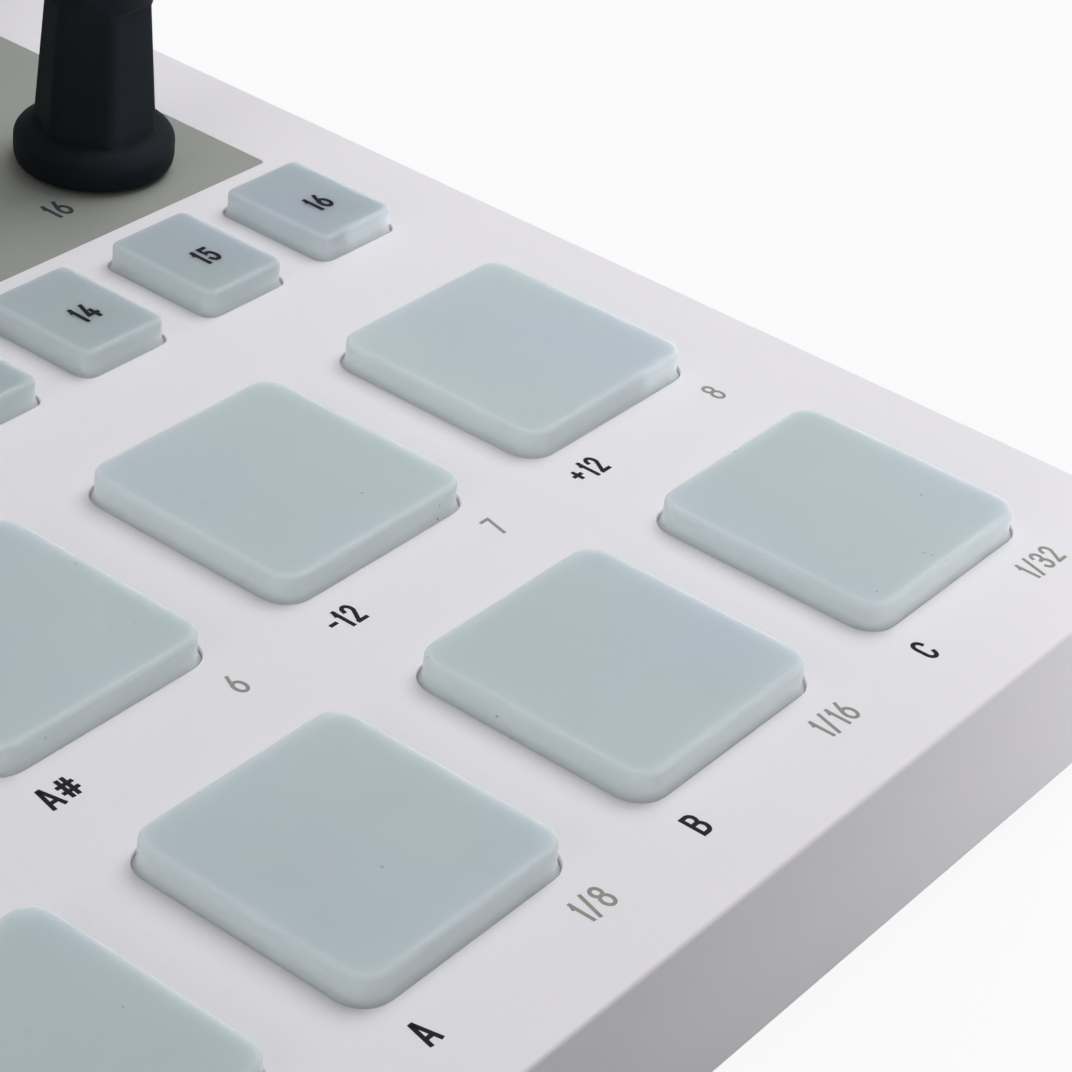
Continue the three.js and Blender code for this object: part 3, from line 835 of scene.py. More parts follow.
def knob(node):
    """A fluted knob on its shaft. Its top edge is a quarter circle, and its dish is a parabola."""
    looks = settings().knobs
    low, high = box(node)
    centre = ((low + high) / 2)[:2]
    bottom = CASE_TOP + looks.lift
    dish_rim = looks.top_radius - looks.top_round - DISH_RIM
    dish_radius = np.linspace(dish_rim, DISH_MIDDLE, DISH_RINGS)
    dish = high[2] - looks.dish_depth * (1 - (dish_radius / dish_radius[0]) ** 2)
    edge = outer_roll(looks.top_radius, high[2], looks.top_round, KNOB_ROLL_STEPS)[1:]
    top = turned(centre, chain(edge, np.c_[dish_radius, dish]), KNOB_AROUND)
    shaft = turned(centre, chain((looks.shaft_radius, low[2]), (looks.shaft_radius, bottom)), KNOB_AROUND)
    skin = Skin()
    skin.grid(np.concatenate([shaft, knob_rows(centre, bottom, high[2], looks), top]))
    skin.fan(shaft[0], (*centre, low[2]))
    skin.fan(top[-1], (*centre, high[2] - looks.dish_depth))
    made = skin.piece(node + "_grip", "soft_touch")
    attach(made, node)
    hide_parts(node)


# Case

CASE_ROLL_STEPS = 7
SLOT_ROLL_STEPS = 5
EDGE_STRIP = 0.0004
FOOT_CHAMFER = 0.0003
SLOT_STEP = 0.001
PANEL_CORNER = 0.0004
SOCKET_CHAMFER = 0.0003
LOCK_CORNER = 0.0012
PORT_CORNER = 0.0007
SWITCH_CORNER = 0.0004
SWITCH_POCKET = 0.002
SWITCH_POCKET_DEPTH = 0.0012


def encoder_corners():
    low, high = box("encoder_panel")
    return rectangle(low[:2], high[:2])


def control_corners():
    """The left panel's corners: a wide part at the back and a leg, the touch strip, to the front."""
    low, high = box("control_panel")
    inner_x = high[0] - STRIP_WIDTH
    inner_y = box("encoder_panel")[0][1]
    return np.array([(inner_x, low[1]), (high[0], low[1]), (high[0], high[1]), (low[0], high[1]),
                     (low[0], inner_y), (inner_x, inner_y)])


def rear_places():
    """Places of the sockets on the rear wall and of the screws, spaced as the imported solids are."""
    left, screw_x, last_screw_x = (middle(node)[0] + COLUMN_PITCH / 2
                                   for node in (TRANSPORT[0], "pad_04", "pad_07"))
    gap = (box("control_panel")[1][0] + box("encoder_panel")[0][0]) / 2
    pitch = (screw_x - gap) / (JACK_COUNT + 1)
    lever_low, lever_high = box("power_switch_lever")
    switch_x = left + (gap - left) * SWITCH_SHARE
    half = switch_x - lever_low[0] + FIT_GAP
    port = np.array([left + (gap - left) * PORT_SHARE, BOARD_BOTTOM - PORT_DROP])
    plate_top = box("base_plate")[0][2] + PLATE_THICKNESS
    lock = np.array([(screw_x + last_screw_x) / 2, (plate_top + BOARD_BOTTOM) / 2])
    between_pads = (middle("pad_01")[1] + middle("pad_09")[1]) / 2
    behind_panels = (box("encoder_panel")[1][1] + FIT_GAP + LEDGE_RIB + INNER_BACK) / 2
    return {
        "jacks": gap + pitch * np.arange(1, JACK_COUNT + 1),
        "jack_z": BOARD_BOTTOM - JACK_DROP,
        "port": (port - PORT_HALF, port + PORT_HALF),
        "switch_slot": (np.array([switch_x - half, lever_low[2] - FIT_GAP]),
                        np.array([switch_x + half, lever_high[2] + FIT_GAP])),
        "lock": (lock - LOCK_HALF, lock + LOCK_HALF),
        "screws": [(middle(node)[0] + COLUMN_PITCH / 2, between_pads)
                   for node in ("pad_01", "pad_04", "pad_07", TRANSPORT[0], TRANSPORT[2])]
        + [(x, behind_panels) for x in (left, gap, screw_x, last_screw_x)],
    }


def rear_tunnels():
    """Grids of the openings in the rear wall, as rings of X, height and depth from outside in."""
    places = rear_places()
    mouth = chain((SOCKET_CHAMFER, BACK_FACE), (0, BACK_FACE - SOCKET_CHAMFER))
    plain = chain(mouth, (0, INNER_BACK))
    stepped = chain(mouth + (SWITCH_POCKET, 0), (SWITCH_POCKET, BACK_FACE - SWITCH_POCKET_DEPTH),
                    (0, BACK_FACE - SWITCH_POCKET_DEPTH), (0, INNER_BACK))
    jack = plain + (JACK_RADIUS + FIT_GAP, 0)
    port_low, port_high = places["port"]
    return [
        *(turned((x, places["jack_z"]), jack) for x in places["jacks"]),
        rounded(rectangle(*places["lock"]), LOCK_CORNER, plain),
        rounded(rectangle(port_low - FIT_GAP, port_high + FIT_GAP), PORT_CORNER, plain),
        rounded(rectangle(*places["switch_slot"]), SWITCH_CORNER, stepped),
    ]


def key_slot(node, looks):
    """A key's slot: a rounded rim and straight sides down to the ceiling, carried round the cap."""
    rim = looks.slot_fillet
    profile = chain((rim + EDGE_STRIP / 2, CASE_TOP), inner_roll(CASE_TOP, rim, SLOT_ROLL_STEPS),
                    (0, CASE_TOP - SLOT_STEP), (0, CEILING))
    return rounded(key_corners(node), key_radius(node), profile + (KEY_SLOT, 0))


def panel_recess(corners, looks):
    """A panel's recess: rim, the ledge that the panel lies on, and a rib, carried round the panel."""
    rim = looks.recess_fillet
    under = LEDGE_TOP - LEDGE_THICKNESS
    profile = chain((rim + EDGE_STRIP / 2, CASE_TOP), inner_roll(CASE_TOP, rim, FINE_ROLL_STEPS),
                    (0, LEDGE_TOP), (-LEDGE_WIDTH, LEDGE_TOP), (-LEDGE_WIDTH, under), (LEDGE_RIB, under),
                    (LEDGE_RIB, CEILING))
    return rounded(corners, PANEL_CORNER, profile + (looks.recess_gap, 0))


def case_shell():
    """The case as one closed shell.

    A profile of top edge, side, foot and inner wall is carried round the case's outline. The keys'
    slots, the panels' recesses and the tunnels in the rear wall are grids of their own. Flat faces
    with holes join them all: the top, the ceiling, and both sides of the rear wall.
    """
    looks = settings().case
    bottom = CASE_LOW[2]
    radius = looks.edge_radius
    edge = arc((-radius, CASE_TOP - radius), (radius, radius), 90, 0, CASE_ROLL_STEPS)
    wall = PRINT_ROOM - WALL
    profile = chain((-radius - EDGE_STRIP, CASE_TOP), edge, (0, CASE_TOP - radius - EDGE_STRIP),
                    (0, bottom + FOOT_CHAMFER + EDGE_STRIP), (0, bottom + FOOT_CHAMFER),
                    (-FOOT_CHAMFER, bottom), (wall, bottom), (wall, CEILING))
    rows = rounded(rectangle(CASE_LOW[:2], CASE_HIGH[:2]), looks.corner_radius, profile - (PRINT_ROOM, 0))
    rear = rows.shape[1] - 2 - CORNER_STEPS
    outer_row = len(edge) + 1
    inner_row = len(rows) - 2
    skin = Skin()
    skin.grid(rows[: outer_row + 1])
    skin.grid(rows[outer_row : outer_row + 2], open_columns=[rear])
    skin.grid(rows[outer_row + 1 : -1])
    skin.grid(rows[inner_row:], open_columns=[rear])
    tunnels = rear_tunnels()
    for row, end in ((outer_row, 0), (inner_row, -1)):
        four = rows[[row, row, row + 1, row + 1], [rear, rear + 1, rear + 1, rear]]
        skin.fill([stand_up(four), *(tunnel[end] for tunnel in tunnels)], stand_up)
    for tunnel in tunnels:
        skin.grid(stand_up(tunnel))
    holes = [key_slot(node, looks) for node in [*PADS, *STEPS, *TRANSPORT]]
    holes += [panel_recess(corners, looks) for corners in (encoder_corners(), control_corners())]
    for hole in holes:
        skin.grid(hole)
    skin.fill([rows[0], *(hole[0] for hole in holes)])
    skin.fill([rows[-1], *(hole[-1] for hole in holes)])
    made = skin.piece("case_shell", "case")
    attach(made, CHASSIS)
    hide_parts("top_case")


# Panels and displays

FACE_LEAD = 0.0002
BUSH_CHAMFER = 0.0002
WINDOW_COUNT = 3
WINDOW_MARGIN = 0.004
WINDOW_DEPTH = 0.013
WINDOW_GAP = 0.005
WINDOW_RISE = 0.00045
WINDOW_SINK = 0.0004
WINDOW_EDGE = 0.0003
WINDOW_CORNER = 0.0009
DIGIT_HEIGHT = 0.0088
DIGIT_PITCH = 0.0082
DIGIT_STROKE = 0.00085
DIGIT_RISE = 6e-6
DIGIT_WIDTH_SHARE = 0.5
DIGIT_GAP_SHARE = 0.055
DIGIT_SLANT = 0.14
SEGMENTS = [((0, 1), (1, 1)), ((0, 0.5), (1, 0.5)), ((0, 0), (1, 0)), ((0, 0.5), (0, 1)),
            ((1, 0.5), (1, 1)), ((0, 0), (0, 0.5)), ((1, 0), (1, 0.5))]


def panel_face(node, corners, knobs):
    """A thin panel that lies flush in its recess.

    A profile with a broken upper edge is carried round its corners, and a chamfered one is turned
    round the axis of each bush, for its hole.
    """
    looks = settings().panels
    low, high = box(node)
    roll = outer_roll(looks.grow, high[2], looks.edge_radius, FINE_ROLL_STEPS)
    rows = rounded(corners, PANEL_CORNER, chain(
        (looks.grow, low[2]), roll, (looks.grow - looks.edge_radius - FACE_LEAD, high[2])))
    bush = chain((BUSH_CHAMFER, high[2]), (0, high[2] - BUSH_CHAMFER), (0, low[2]))
    holes = [turned(middle(one)[:2], bush + (BUSH_RADIUS + FIT_GAP, 0)) for one in knobs]
    skin = Skin()
    for grid in (rows, *holes):
        skin.grid(grid)
    skin.fill([rows[-1], *(hole[0] for hole in holes)])
    skin.fill([rows[0], *(hole[-1] for hole in holes)])
    made = skin.piece(node + "_face", "panel")
    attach(made, CHASSIS)
    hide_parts(node)


def display_places():
    """Lowest and highest corners of the three windows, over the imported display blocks."""
    low, high = box("control_panel")
    inset = middle("tempo_knob")[0] - low[0]
    start = low[0] + 2 * inset
    pitch = (high[0] - LEDGE_WIDTH - start) / WINDOW_COUNT
    back = high[1] - LEDGE_WIDTH - WINDOW_MARGIN
    return [(np.array([start + index * pitch, back - WINDOW_DEPTH]),
             np.array([start + (index + 1) * pitch - WINDOW_GAP, back])) for index in range(WINDOW_COUNT)]


def digit_segments(x, y, size):
    """The seven bars of one figure. The slant moves a point along X by a share of its height."""
    paths = []
    for ends in SEGMENTS:
        bar = (np.array(ends) - 0.5) * (size * DIGIT_WIDTH_SHARE, size)
        along = (bar[1] - bar[0]) / np.linalg.norm(bar[1] - bar[0])
        bar = bar + np.outer((1, -1), along) * (size * DIGIT_GAP_SHARE)
        paths.append((bar @ np.array([[1, 0], [DIGIT_SLANT, 1]]) + (x, y), False))
    return paths


def display(index, low, high):
    """A smoked window, a rolled edge carried round a rectangle, with three unlit figures on it."""
    top = CASE_TOP + WINDOW_RISE
    rows = rounded(rectangle(low, high), WINDOW_CORNER, chain(
        (0, CASE_TOP - WINDOW_SINK), outer_roll(0, top, WINDOW_EDGE, FINE_ROLL_STEPS),
        (-WINDOW_EDGE - FACE_LEAD, top)))
    skin = Skin()
    skin.grid(rows)
    skin.fill([rows[-1]])
    skin.fill([rows[0]])
    centre = (low + high) / 2
    paths = []
    for place in (-1, 0, 1):
        paths += digit_segments(centre[0] + place * DIGIT_PITCH, centre[1], DIGIT_HEIGHT)
    lay_strokes(skin, paths, DIGIT_STROKE, on_top(0, 0, top), 1, rise=DIGIT_RISE)
    made = skin.piece(f"display_window_{index}", "window", "digits")
    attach(made, CHASSIS)


# Sockets and switch

JACK_GROWTH = 0.00015
JACK_BORE_SHARE = 0.9
JACK_DEPTH = 0.0095
JACK_FLOOR = 0.0006
JACK_ROLL = 0.0003
JACK_ROLL_STEPS = 3
JACK_CHAMFER = 0.0004
# The contact ring's four edges: share of the bore's radius, and depth
CONTACT_SECTION = [(0.98, 0.0022), (0.80, 0.0024), (0.80, 0.0040), (0.98, 0.0042)]
PORT_DEPTH = 0.0078
PORT_FLOOR = 0.0004
# Offsets from an outline, and depths, from outside in
PORT_RIM = [(0.00008, 0.0001), (-0.00005, 0), (-0.0005, 0), (-0.00058, 0.00015)]
TONGUE_MARGIN = 0.0015
TONGUE_HALF_HEIGHT = 0.0004
TONGUE_CORNER = 0.0002
TONGUE_SINK = 0.0002
TONGUE_RIM = [(0, 0.0012), (-0.00015, 0.001)]
GRIP_CORNER = 0.0003
GRIP_EDGE = 0.0002
RIB_PITCH = 0.0008
RIB_HALF_LENGTH = 0.0007
RIB_STROKE = 0.00035
RIB_RISE = 0.00018
RIB_SINK = 0.0001


def jack_socket(index, x, z):
    """A turned plastic socket, whose bore is closed at the far end, and a turned contact ring in it."""
    outer = JACK_RADIUS + JACK_GROWTH
    bore = JACK_BORE * JACK_BORE_SHARE
    deep = INNER_BACK - JACK_DEPTH
    collar = outer_roll(outer, SOCKET_FACE, JACK_ROLL, JACK_ROLL_STEPS)
    profile = chain((outer, deep - JACK_FLOOR), collar, (bore + JACK_CHAMFER, SOCKET_FACE),
                    (bore, SOCKET_FACE - JACK_CHAMFER), (bore, deep))
    skin = Skin()
    skin.closed(turned((x, z), profile), (x, z), stand_up)
    made = skin.piece(f"jack_socket_{index}", "black_plastic")
    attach(made, CHASSIS)
    contact = Skin()
    section = chain(*((bore * share, SOCKET_FACE - depth) for share, depth in CONTACT_SECTION))
    contact.grid(stand_up(turned((x, z), section)), looped=True)
    spring = contact.piece(f"jack_contact_{index}", "plating")
    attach(spring, CHASSIS)


def port_shell(low, high):
    """A plated sleeve and the tongue inside it, each a profile carried round a rectangle."""
    centre = (low + high) / 2
    deep = SOCKET_FACE - PORT_DEPTH
    rim = chain(*((offset, SOCKET_FACE - depth) for offset, depth in PORT_RIM))
    profile = chain((rim[0, 0], deep - PORT_FLOOR), rim, (rim[-1, 0], deep))
    skin = Skin()
    skin.closed(rounded(rectangle(low, high), PORT_CORNER, profile), centre, stand_up)
    made = skin.piece("port_shell", "plating")
    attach(made, CHASSIS)
    half = np.array([(high[0] - low[0]) / 2 - TONGUE_MARGIN, TONGUE_HALF_HEIGHT])
    rim = chain(*((offset, SOCKET_FACE - depth) for offset, depth in TONGUE_RIM))
    profile = chain((0, deep - TONGUE_SINK), rim)
    skin = Skin()
    skin.closed(rounded(rectangle(centre - half, centre + half), TONGUE_CORNER, profile), centre, stand_up)
    blade = skin.piece("port_tongue", "black_plastic")
    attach(blade, CHASSIS)


def switch_lever():
    """The power switch's lever: a profile with a chamfer, carried round a rectangle, and three ribs."""
    low, high = box("power_switch_lever")
    corners = rectangle(low[[0, 2]], high[[0, 2]])
    centre = (corners[0] + corners[2]) / 2
    face = high[1] - GRIP_EDGE
    skin = Skin()
    skin.closed(rounded(corners, GRIP_CORNER, chain((0, low[1]), (0, face - GRIP_EDGE), (-GRIP_EDGE, face))),
                centre, stand_up)
    ribs = [line((x, -RIB_HALF_LENGTH), (x, RIB_HALF_LENGTH)) for x in (-RIB_PITCH, 0.0, RIB_PITCH)]
    lay_strokes(skin, ribs, RIB_STROKE, on_back(*centre, face), rise=RIB_RISE, sink=RIB_SINK)
    made = skin.piece("power_switch_grip", "black_plastic")
    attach(made, "power_switch_lever")
    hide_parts("power_switch_lever")


# Underside

SCREW_RADIUS = 0.0028
SCREW_RISE = 0.0011
SCREW_AROUND = 64
DOME_RINGS = 15
DOME_POWER = 2.6
DOME_SHARE = 0.985
CROSS_DEPTH = 0.0008
CROSS_HALF_WIDTH = 0.0004
CROSS_REACH = 0.0017
CROSS_SOFTNESS = 0.00012
REACH_SOFTNESS = 0.0002
HEAD_SINK = 0.0004
FOOT_CORNER = 0.003
FOOT_ROLL = 0.0005
SOLE_GROOVE = [(-0.0018, 0), (-0.0021, 0.0004), (-0.0026, 0.0004), (-0.0029, 0)]


def screw(index, x, y, plate):
    """A pan-head screw under the base: a dome with a cross-shaped recess.

    The head's height falls from the middle as a flattened quarter ellipse, and the cross is taken
    out where a point lies near either axis and inside the cross's reach.
    """
    share = np.sin(np.linspace(0, np.pi / 2, DOME_RINGS))[::-1]
    angle = np.linspace(0, 2 * np.pi, SCREW_AROUND, endpoint=False)
    flat = SCREW_RADIUS * share[:, None]
    u, v = flat * np.cos(angle), flat * np.sin(angle)
    dome = SCREW_RISE * np.sqrt(np.clip(1 - (share * DOME_SHARE) ** DOME_POWER, 0, 1))[:, None]
    axis = np.minimum(np.abs(u), np.abs(v))
    near = smooth_step(CROSS_HALF_WIDTH - axis, -CROSS_SOFTNESS, CROSS_SOFTNESS)
    reach = smooth_step(CROSS_REACH - flat, -REACH_SOFTNESS, REACH_SOFTNESS)
    height = dome - CROSS_DEPTH * near * reach
    rows = np.stack([x + u, y + v, plate - height], 2)
    base = turned((x, y), [(SCREW_RADIUS, plate + HEAD_SINK)], SCREW_AROUND)
    skin = Skin()
    skin.grid(np.concatenate([base, rows[:-1]]))
    skin.fan(base[0], (x, y, plate + HEAD_SINK))
    skin.fan(rows[-2], (x, y, plate - SCREW_RISE + CROSS_DEPTH))
    made = skin.piece(f"base_screw_{index}", "screw")
    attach(made, CHASSIS)


def foot(node):
    """A rubber strip: a rolled edge and a groove round its sole, carried round a rectangle."""
    low, high = box(node)
    roll = arc((-FOOT_ROLL, low[2] + FOOT_ROLL), (FOOT_ROLL, FOOT_ROLL), 0, -90, FINE_ROLL_STEPS)
    groove = np.array(SOLE_GROOVE) + (0, low[2])
    rows = rounded(rectangle(low[:2], high[:2]), FOOT_CORNER, chain((0, high[2]), roll, groove))
    skin = Skin()
    skin.grid(rows)
    skin.fill([rows[0]])
    skin.fill([rows[-1]])
    made = skin.piece(node + "_strip", "rubber")
    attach(made, CHASSIS)
    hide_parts(node)


def dress(node, finish_name):
    """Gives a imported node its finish."""
    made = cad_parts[node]
    made.data.materials.clear()
    made.data.materials.append(finish(finish_name))


# Printing

NOTES = [["C", "D", "E", "F", "G", "A", "B", "C"], ["C#", "D#", "", "F#", "G#", "A#", "-12", "+12"]]
MARKS = [[">", "<", "<>", "=", "1/4", "1/8", "1/16", "1/32"], ["1", "2", "3", "4", "5", "6", "7", "8"]]
REAR_NUMBER = (0.0019, 0.0003)
JACK_NUMBER_RISE = 0.0052
SWITCH_NUMBER_RISE = 0.0053
SWITCH_NUMBER_INSET = 0.0015
DIAL_RADII = (0.0098, 0.0112)
DIAL_TICKS = 11
DIAL_HALF_TURN = 135
DIAL_STROKE = 0.00035
DOT_POINTS = 20
TEMPO_MARK = [loop(circle((-0.0007, -0.0014), 0.0005, DOT_POINTS)),
              line((0.00012, -0.0013), (0.00012, 0.0016))]
TEMPO_MARK_GAP = 0.0148
TEMPO_MARK_STROKE = 0.00055
FIELD_HALF = 0.0038
FIELD_CORNER = 0.001
FIELD_PITCH = 0.0102
FIELD_GAP = 0.0125
FIELD_STROKE = 0.0003
FIELD_SIGN = (0.0036, 0.00045)
FIELD_DOT = 0.0006
SCALE_RUNGS = 17
SCALE_LONG_EVERY = 8
SCALE_LONG_HALF = 0.0032
SCALE_SHORT_HALF = 0.0016
SCALE_FRONT_MARGIN = 0.006
SCALE_BACK_MARGIN = 0.004
SCALE_STROKE = 0.0004


def case_printing():
    """Dark note names at the left and grey marks at the right, in front of each pad."""
    looks = settings().lettering
    skin = Skin()
    half = (key_corners(PADS[0])[1] - key_corners(PADS[0])[0])[0] / 2
    for node, note, mark in zip(PADS, sum(NOTES, []), sum(MARKS, [])):
        x, y, _ = middle(node)
        lay_text(skin, note, looks.note_height, looks.note_stroke,
                 on_top(x - half + looks.note_inset, y - looks.note_gap, CASE_TOP), anchor=0)
        lay_text(skin, mark, looks.mark_height, looks.mark_stroke,
                 on_top(x + half - looks.mark_inset, y - looks.note_gap, CASE_TOP), anchor=1, mark=1)
    made = skin.piece("case_printing", "dark_ink", "grey_ink")
    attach(made, CHASSIS)


def rear_printing():
    """Numbers over the sockets, and 0 and 1 over the ends of the switch."""
    places = rear_places()
    skin = Skin()
    height = places["jack_z"] + JACK_NUMBER_RISE
    for index, x in enumerate(places["jacks"]):
        lay_text(skin, str(index + 1), *REAR_NUMBER, on_back(x, height, BACK_FACE))
    low, high = places["switch_slot"]
    height = (low[1] + high[1]) / 2 + SWITCH_NUMBER_RISE
    for text, x in (("0", low[0] + SWITCH_NUMBER_INSET), ("1", high[0] - SWITCH_NUMBER_INSET)):
        lay_text(skin, text, *REAR_NUMBER, on_back(x, height, BACK_FACE))
    rear = skin.piece("rear_printing", "dark_ink")
    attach(rear, CHASSIS)


def panel_printing():
    """Numbers in front of the knobs, a dial round the tempo knob, touch fields and the strip's scale."""
    looks = settings().lettering
    skin = Skin()
    for index, node in enumerate(KNOBS):
        x, y, _ = middle(node)
        lay_text(skin, str(index + 1), looks.number_height, looks.number_stroke,
                 on_top(x + looks.number_x, y + looks.number_y, CASE_TOP))
    x, y, _ = middle("tempo_knob")
    ticks = np.radians(np.linspace(-DIAL_HALF_TURN, DIAL_HALF_TURN, DIAL_TICKS)) + np.pi / 2
    rays = np.c_[np.cos(ticks), np.sin(ticks)]
    lay_strokes(skin, [line(*(ray * radius for radius in DIAL_RADII)) for ray in rays], DIAL_STROKE,
                on_top(x, y, CASE_TOP))
    lay_strokes(skin, TEMPO_MARK, TEMPO_MARK_STROKE, on_top(x, y - TEMPO_MARK_GAP, CASE_TOP))
    field = rectangle((-FIELD_HALF, -FIELD_HALF), (FIELD_HALF, FIELD_HALF))
    for low, high in display_places():
        centre = (low + high) / 2
        for place, text in ((-1, "-"), (0, ""), (1, "+")):
            inner = written(text, *FIELD_SIGN) if text else [loop(circle((0, 0), FIELD_DOT, DOT_POINTS))]
            lay_strokes(skin, [loop(outline(field, FIELD_CORNER)), *inner], FIELD_STROKE,
                        on_top(centre[0] + place * FIELD_PITCH, low[1] - FIELD_GAP, CASE_TOP))
    low, high = box("control_panel")
    strip_x = high[0] - STRIP_WIDTH / 2
    back = box("encoder_panel")[0][1] - SCALE_BACK_MARGIN
    for index, y in enumerate(np.linspace(low[1] + SCALE_FRONT_MARGIN, back, SCALE_RUNGS)):
        half = SCALE_SHORT_HALF if index % SCALE_LONG_EVERY else SCALE_LONG_HALF
        lay_strokes(skin, [line((-half, 0), (half, 0))], SCALE_STROKE, on_top(strip_x, y, CASE_TOP))
    made = skin.piece("panel_printing", "panel_ink")
    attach(made, CHASSIS)


# Settings


def number(name, description, default, **limits):
    return FloatProperty(name=name, description=description, default=default, **limits)


def length(name, description, default):
    return number(name, description, default, min=0.0, precision=5, unit="LENGTH")


def position(name, description, default):
    return number(name, description, default, precision=5, unit="LENGTH")


def factor(name, description, default):
    return number(name, description, default, min=0.0, max=1.0, subtype="FACTOR")


def power(name, description, default):
    return number(name, description, default, min=0.0, unit="POWER")


def tint(name, description, default):
    return FloatVectorProperty(name=name, description=description, default=default, min=0.0, max=1.0,
                               subtype="COLOR")


class CaseSettings(bpy.types.PropertyGroup):
    """Sizes and colour of the case."""

    corner_radius: length("Corner radius", "Radius of the case's upright corners", 0.004)
    edge_radius: length("Edge radius", "Radius between the case's top and its sides", 0.0004)
    slot_fillet: length("Slot rounding", "Radius of the rim round each key", 0.00012)
    recess_fillet: length("Recess rounding", "Radius of the rim round each panel", 0.00006)
    recess_gap: length("Recess gap", "From a panel's packed edge to its recess", 0.00013)
    colour: tint("Colour", "Colour of the moulded case", (0.80, 0.783, 0.825))


class KeySettings(bpy.types.PropertyGroup):
    """Sizes and colours of the pads, step buttons and transport buttons."""

    pad_corner: length("Pad corners", "Corner radius of the pads", 0.0022)
    step_corner: length("Button corners", "Corner radius of the small buttons", 0.00095)
    edge_width: length("Edge width", "Width of a cap's rolled edge", 0.0004)
    edge_height: length("Edge height", "Height of a cap's rolled edge", 0.0004)
    draft: length("Draft", "By which a cap's side leans in over its height", 0.00002)
    crown: length("Crown", "By which a cap's middle stands above its edge", 0.00002)
    skirt_width: length("Skirt width", "By which the skirt fills the slot", 0.000385)
    skirt_depth: length("Skirt depth", "From the case's top down to the skirt", 0.00006)
    flare: length("Flare", "Height of the foot that widens to the skirt", 0.0006)
    corner_dip: length("Corner dip", "How much lower the skirt is at a key's corners", 0.0004)
    # Width inside a cap's edge over which the greyer side colour with its painted light is blended onto the
    # top
    painted_rim_width: length("Rim width", "Width of the greyer rim on a cap's top", 0.0008)
    number_height: length("Number height", "Height of the numbers on the step buttons", 0.0026)
    number_stroke: length("Number stroke", "Stroke of the numbers on the step buttons", 0.0004)
    number_shift: position("Number shift", "From a step button's middle to its number", -0.00113)
    # Painted light: these lift the sides' colour, most at the foot, in place of light spreading through the
    # silicone
    painted_side_light: number("Side tone", "By which light from within lifts a side's foot", 0.6)
    button_painted_side_light: number("Button side tone", "The same for the small buttons", 0.9)
    painted_edge_share: factor("Edge tone", "Share of the side tone at the cap's edge", 0.18)
    colour: tint("Pad colour", "Colour of the pads' silicone", (0.49, 0.57, 0.59))
    button_colour: tint("Button colour", "Colour of the small buttons' silicone", (0.385, 0.45, 0.475))


class KnobSettings(bpy.types.PropertyGroup):
    """Sizes and colour of the knobs."""

    lift: length("Lift", "From the panel to the knob", 0.0004)
    flange_radius: length("Flange radius", "Radius of the flange's widest place", 0.00766)
    rim_bottom: length("Rim bottom", "Height from which the flange is widest", 0.0012)
    rim_top: length("Rim top", "Height up to which the flange is widest", 0.0023)
    flange_height: length("Flange height", "Height at which the shoulder meets the body", 0.0037)
    shoulder_width: length("Shoulder width", "By which the flange draws in above", 0.0019)
    flange_tuck: length("Flange tuck", "By which the flange draws in below", 0.00045)
    body_radius: length("Body radius", "Radius over the ridges above the flange", 0.0061)
    top_radius: length("Top radius", "Radius at the collar", 0.00515)
    collar_height: length("Collar height", "Height of the round collar at the top", 0.0018)
    run_out: length("Run-out", "Height over which the flats run out under the collar", 0.0007)
    top_round: length("Top rounding", "Radius of the top's edge", 0.0006)
    dish_depth: length("Dish depth", "Depth of the dish in the top", 0.0003)
    shaft_radius: length("Shaft radius", "Radius of the shaft", 0.003)
    ridge_sharpness: number("Ridge sharpness", "A higher power makes sharper ridges", 40.0, min=8.0)
    colour: tint("Colour", "Colour of the soft-touch rubber", (0.0115, 0.0150, 0.0190))


class PanelSettings(bpy.types.PropertyGroup):
    """Sizes and colour of the two grey panels."""

    edge_radius: length("Edge rounding", "Radius of a panel's top edge", 0.00006)
    grow: length("Growth", "By which a panel's face fills its fitting gap", 0.0001)
    colour: tint("Colour", "Colour of the printed panels", (0.31, 0.322, 0.297))


class LetteringSettings(bpy.types.PropertyGroup):
    """Sizes, places and colours of the printing."""

    note_height: length("Note height", "Height of the dark note names", 0.0025)
    note_stroke: length("Note stroke", "Stroke of the dark note names", 0.00038)
    note_inset: length("Note inset", "From a pad's left edge to its note name", 0.00055)
    mark_height: length("Mark height", "Height of the grey marks", 0.00245)
    mark_stroke: length("Mark stroke", "Stroke of the grey marks", 0.00031)
    mark_inset: length("Mark inset", "From a pad's right edge to its grey mark", 0.0007)
    note_gap: length("Printing gap", "From a pad's middle to the middle of its printing", 0.01508)
    number_height: length("Number height", "Height of the numbers at the knobs", 0.00275)
    number_stroke: length("Number stroke", "Stroke of the numbers at the knobs", 0.0004)
    number_x: position("Number place, across", "From a knob's middle to its number, along X", -0.00955)
    number_y: position("Number place, deep", "From a knob's middle to its number, along Y", -0.00473)
    dark_colour: tint("Dark ink", "Colour of the dark printing", (0.013, 0.014, 0.021))
    grey_colour: tint("Grey ink", "Colour of the grey printing", (0.30, 0.30, 0.265))
    panel_colour: tint("Panel ink", "Colour of the printing on the panels", (0.045, 0.06, 0.07))


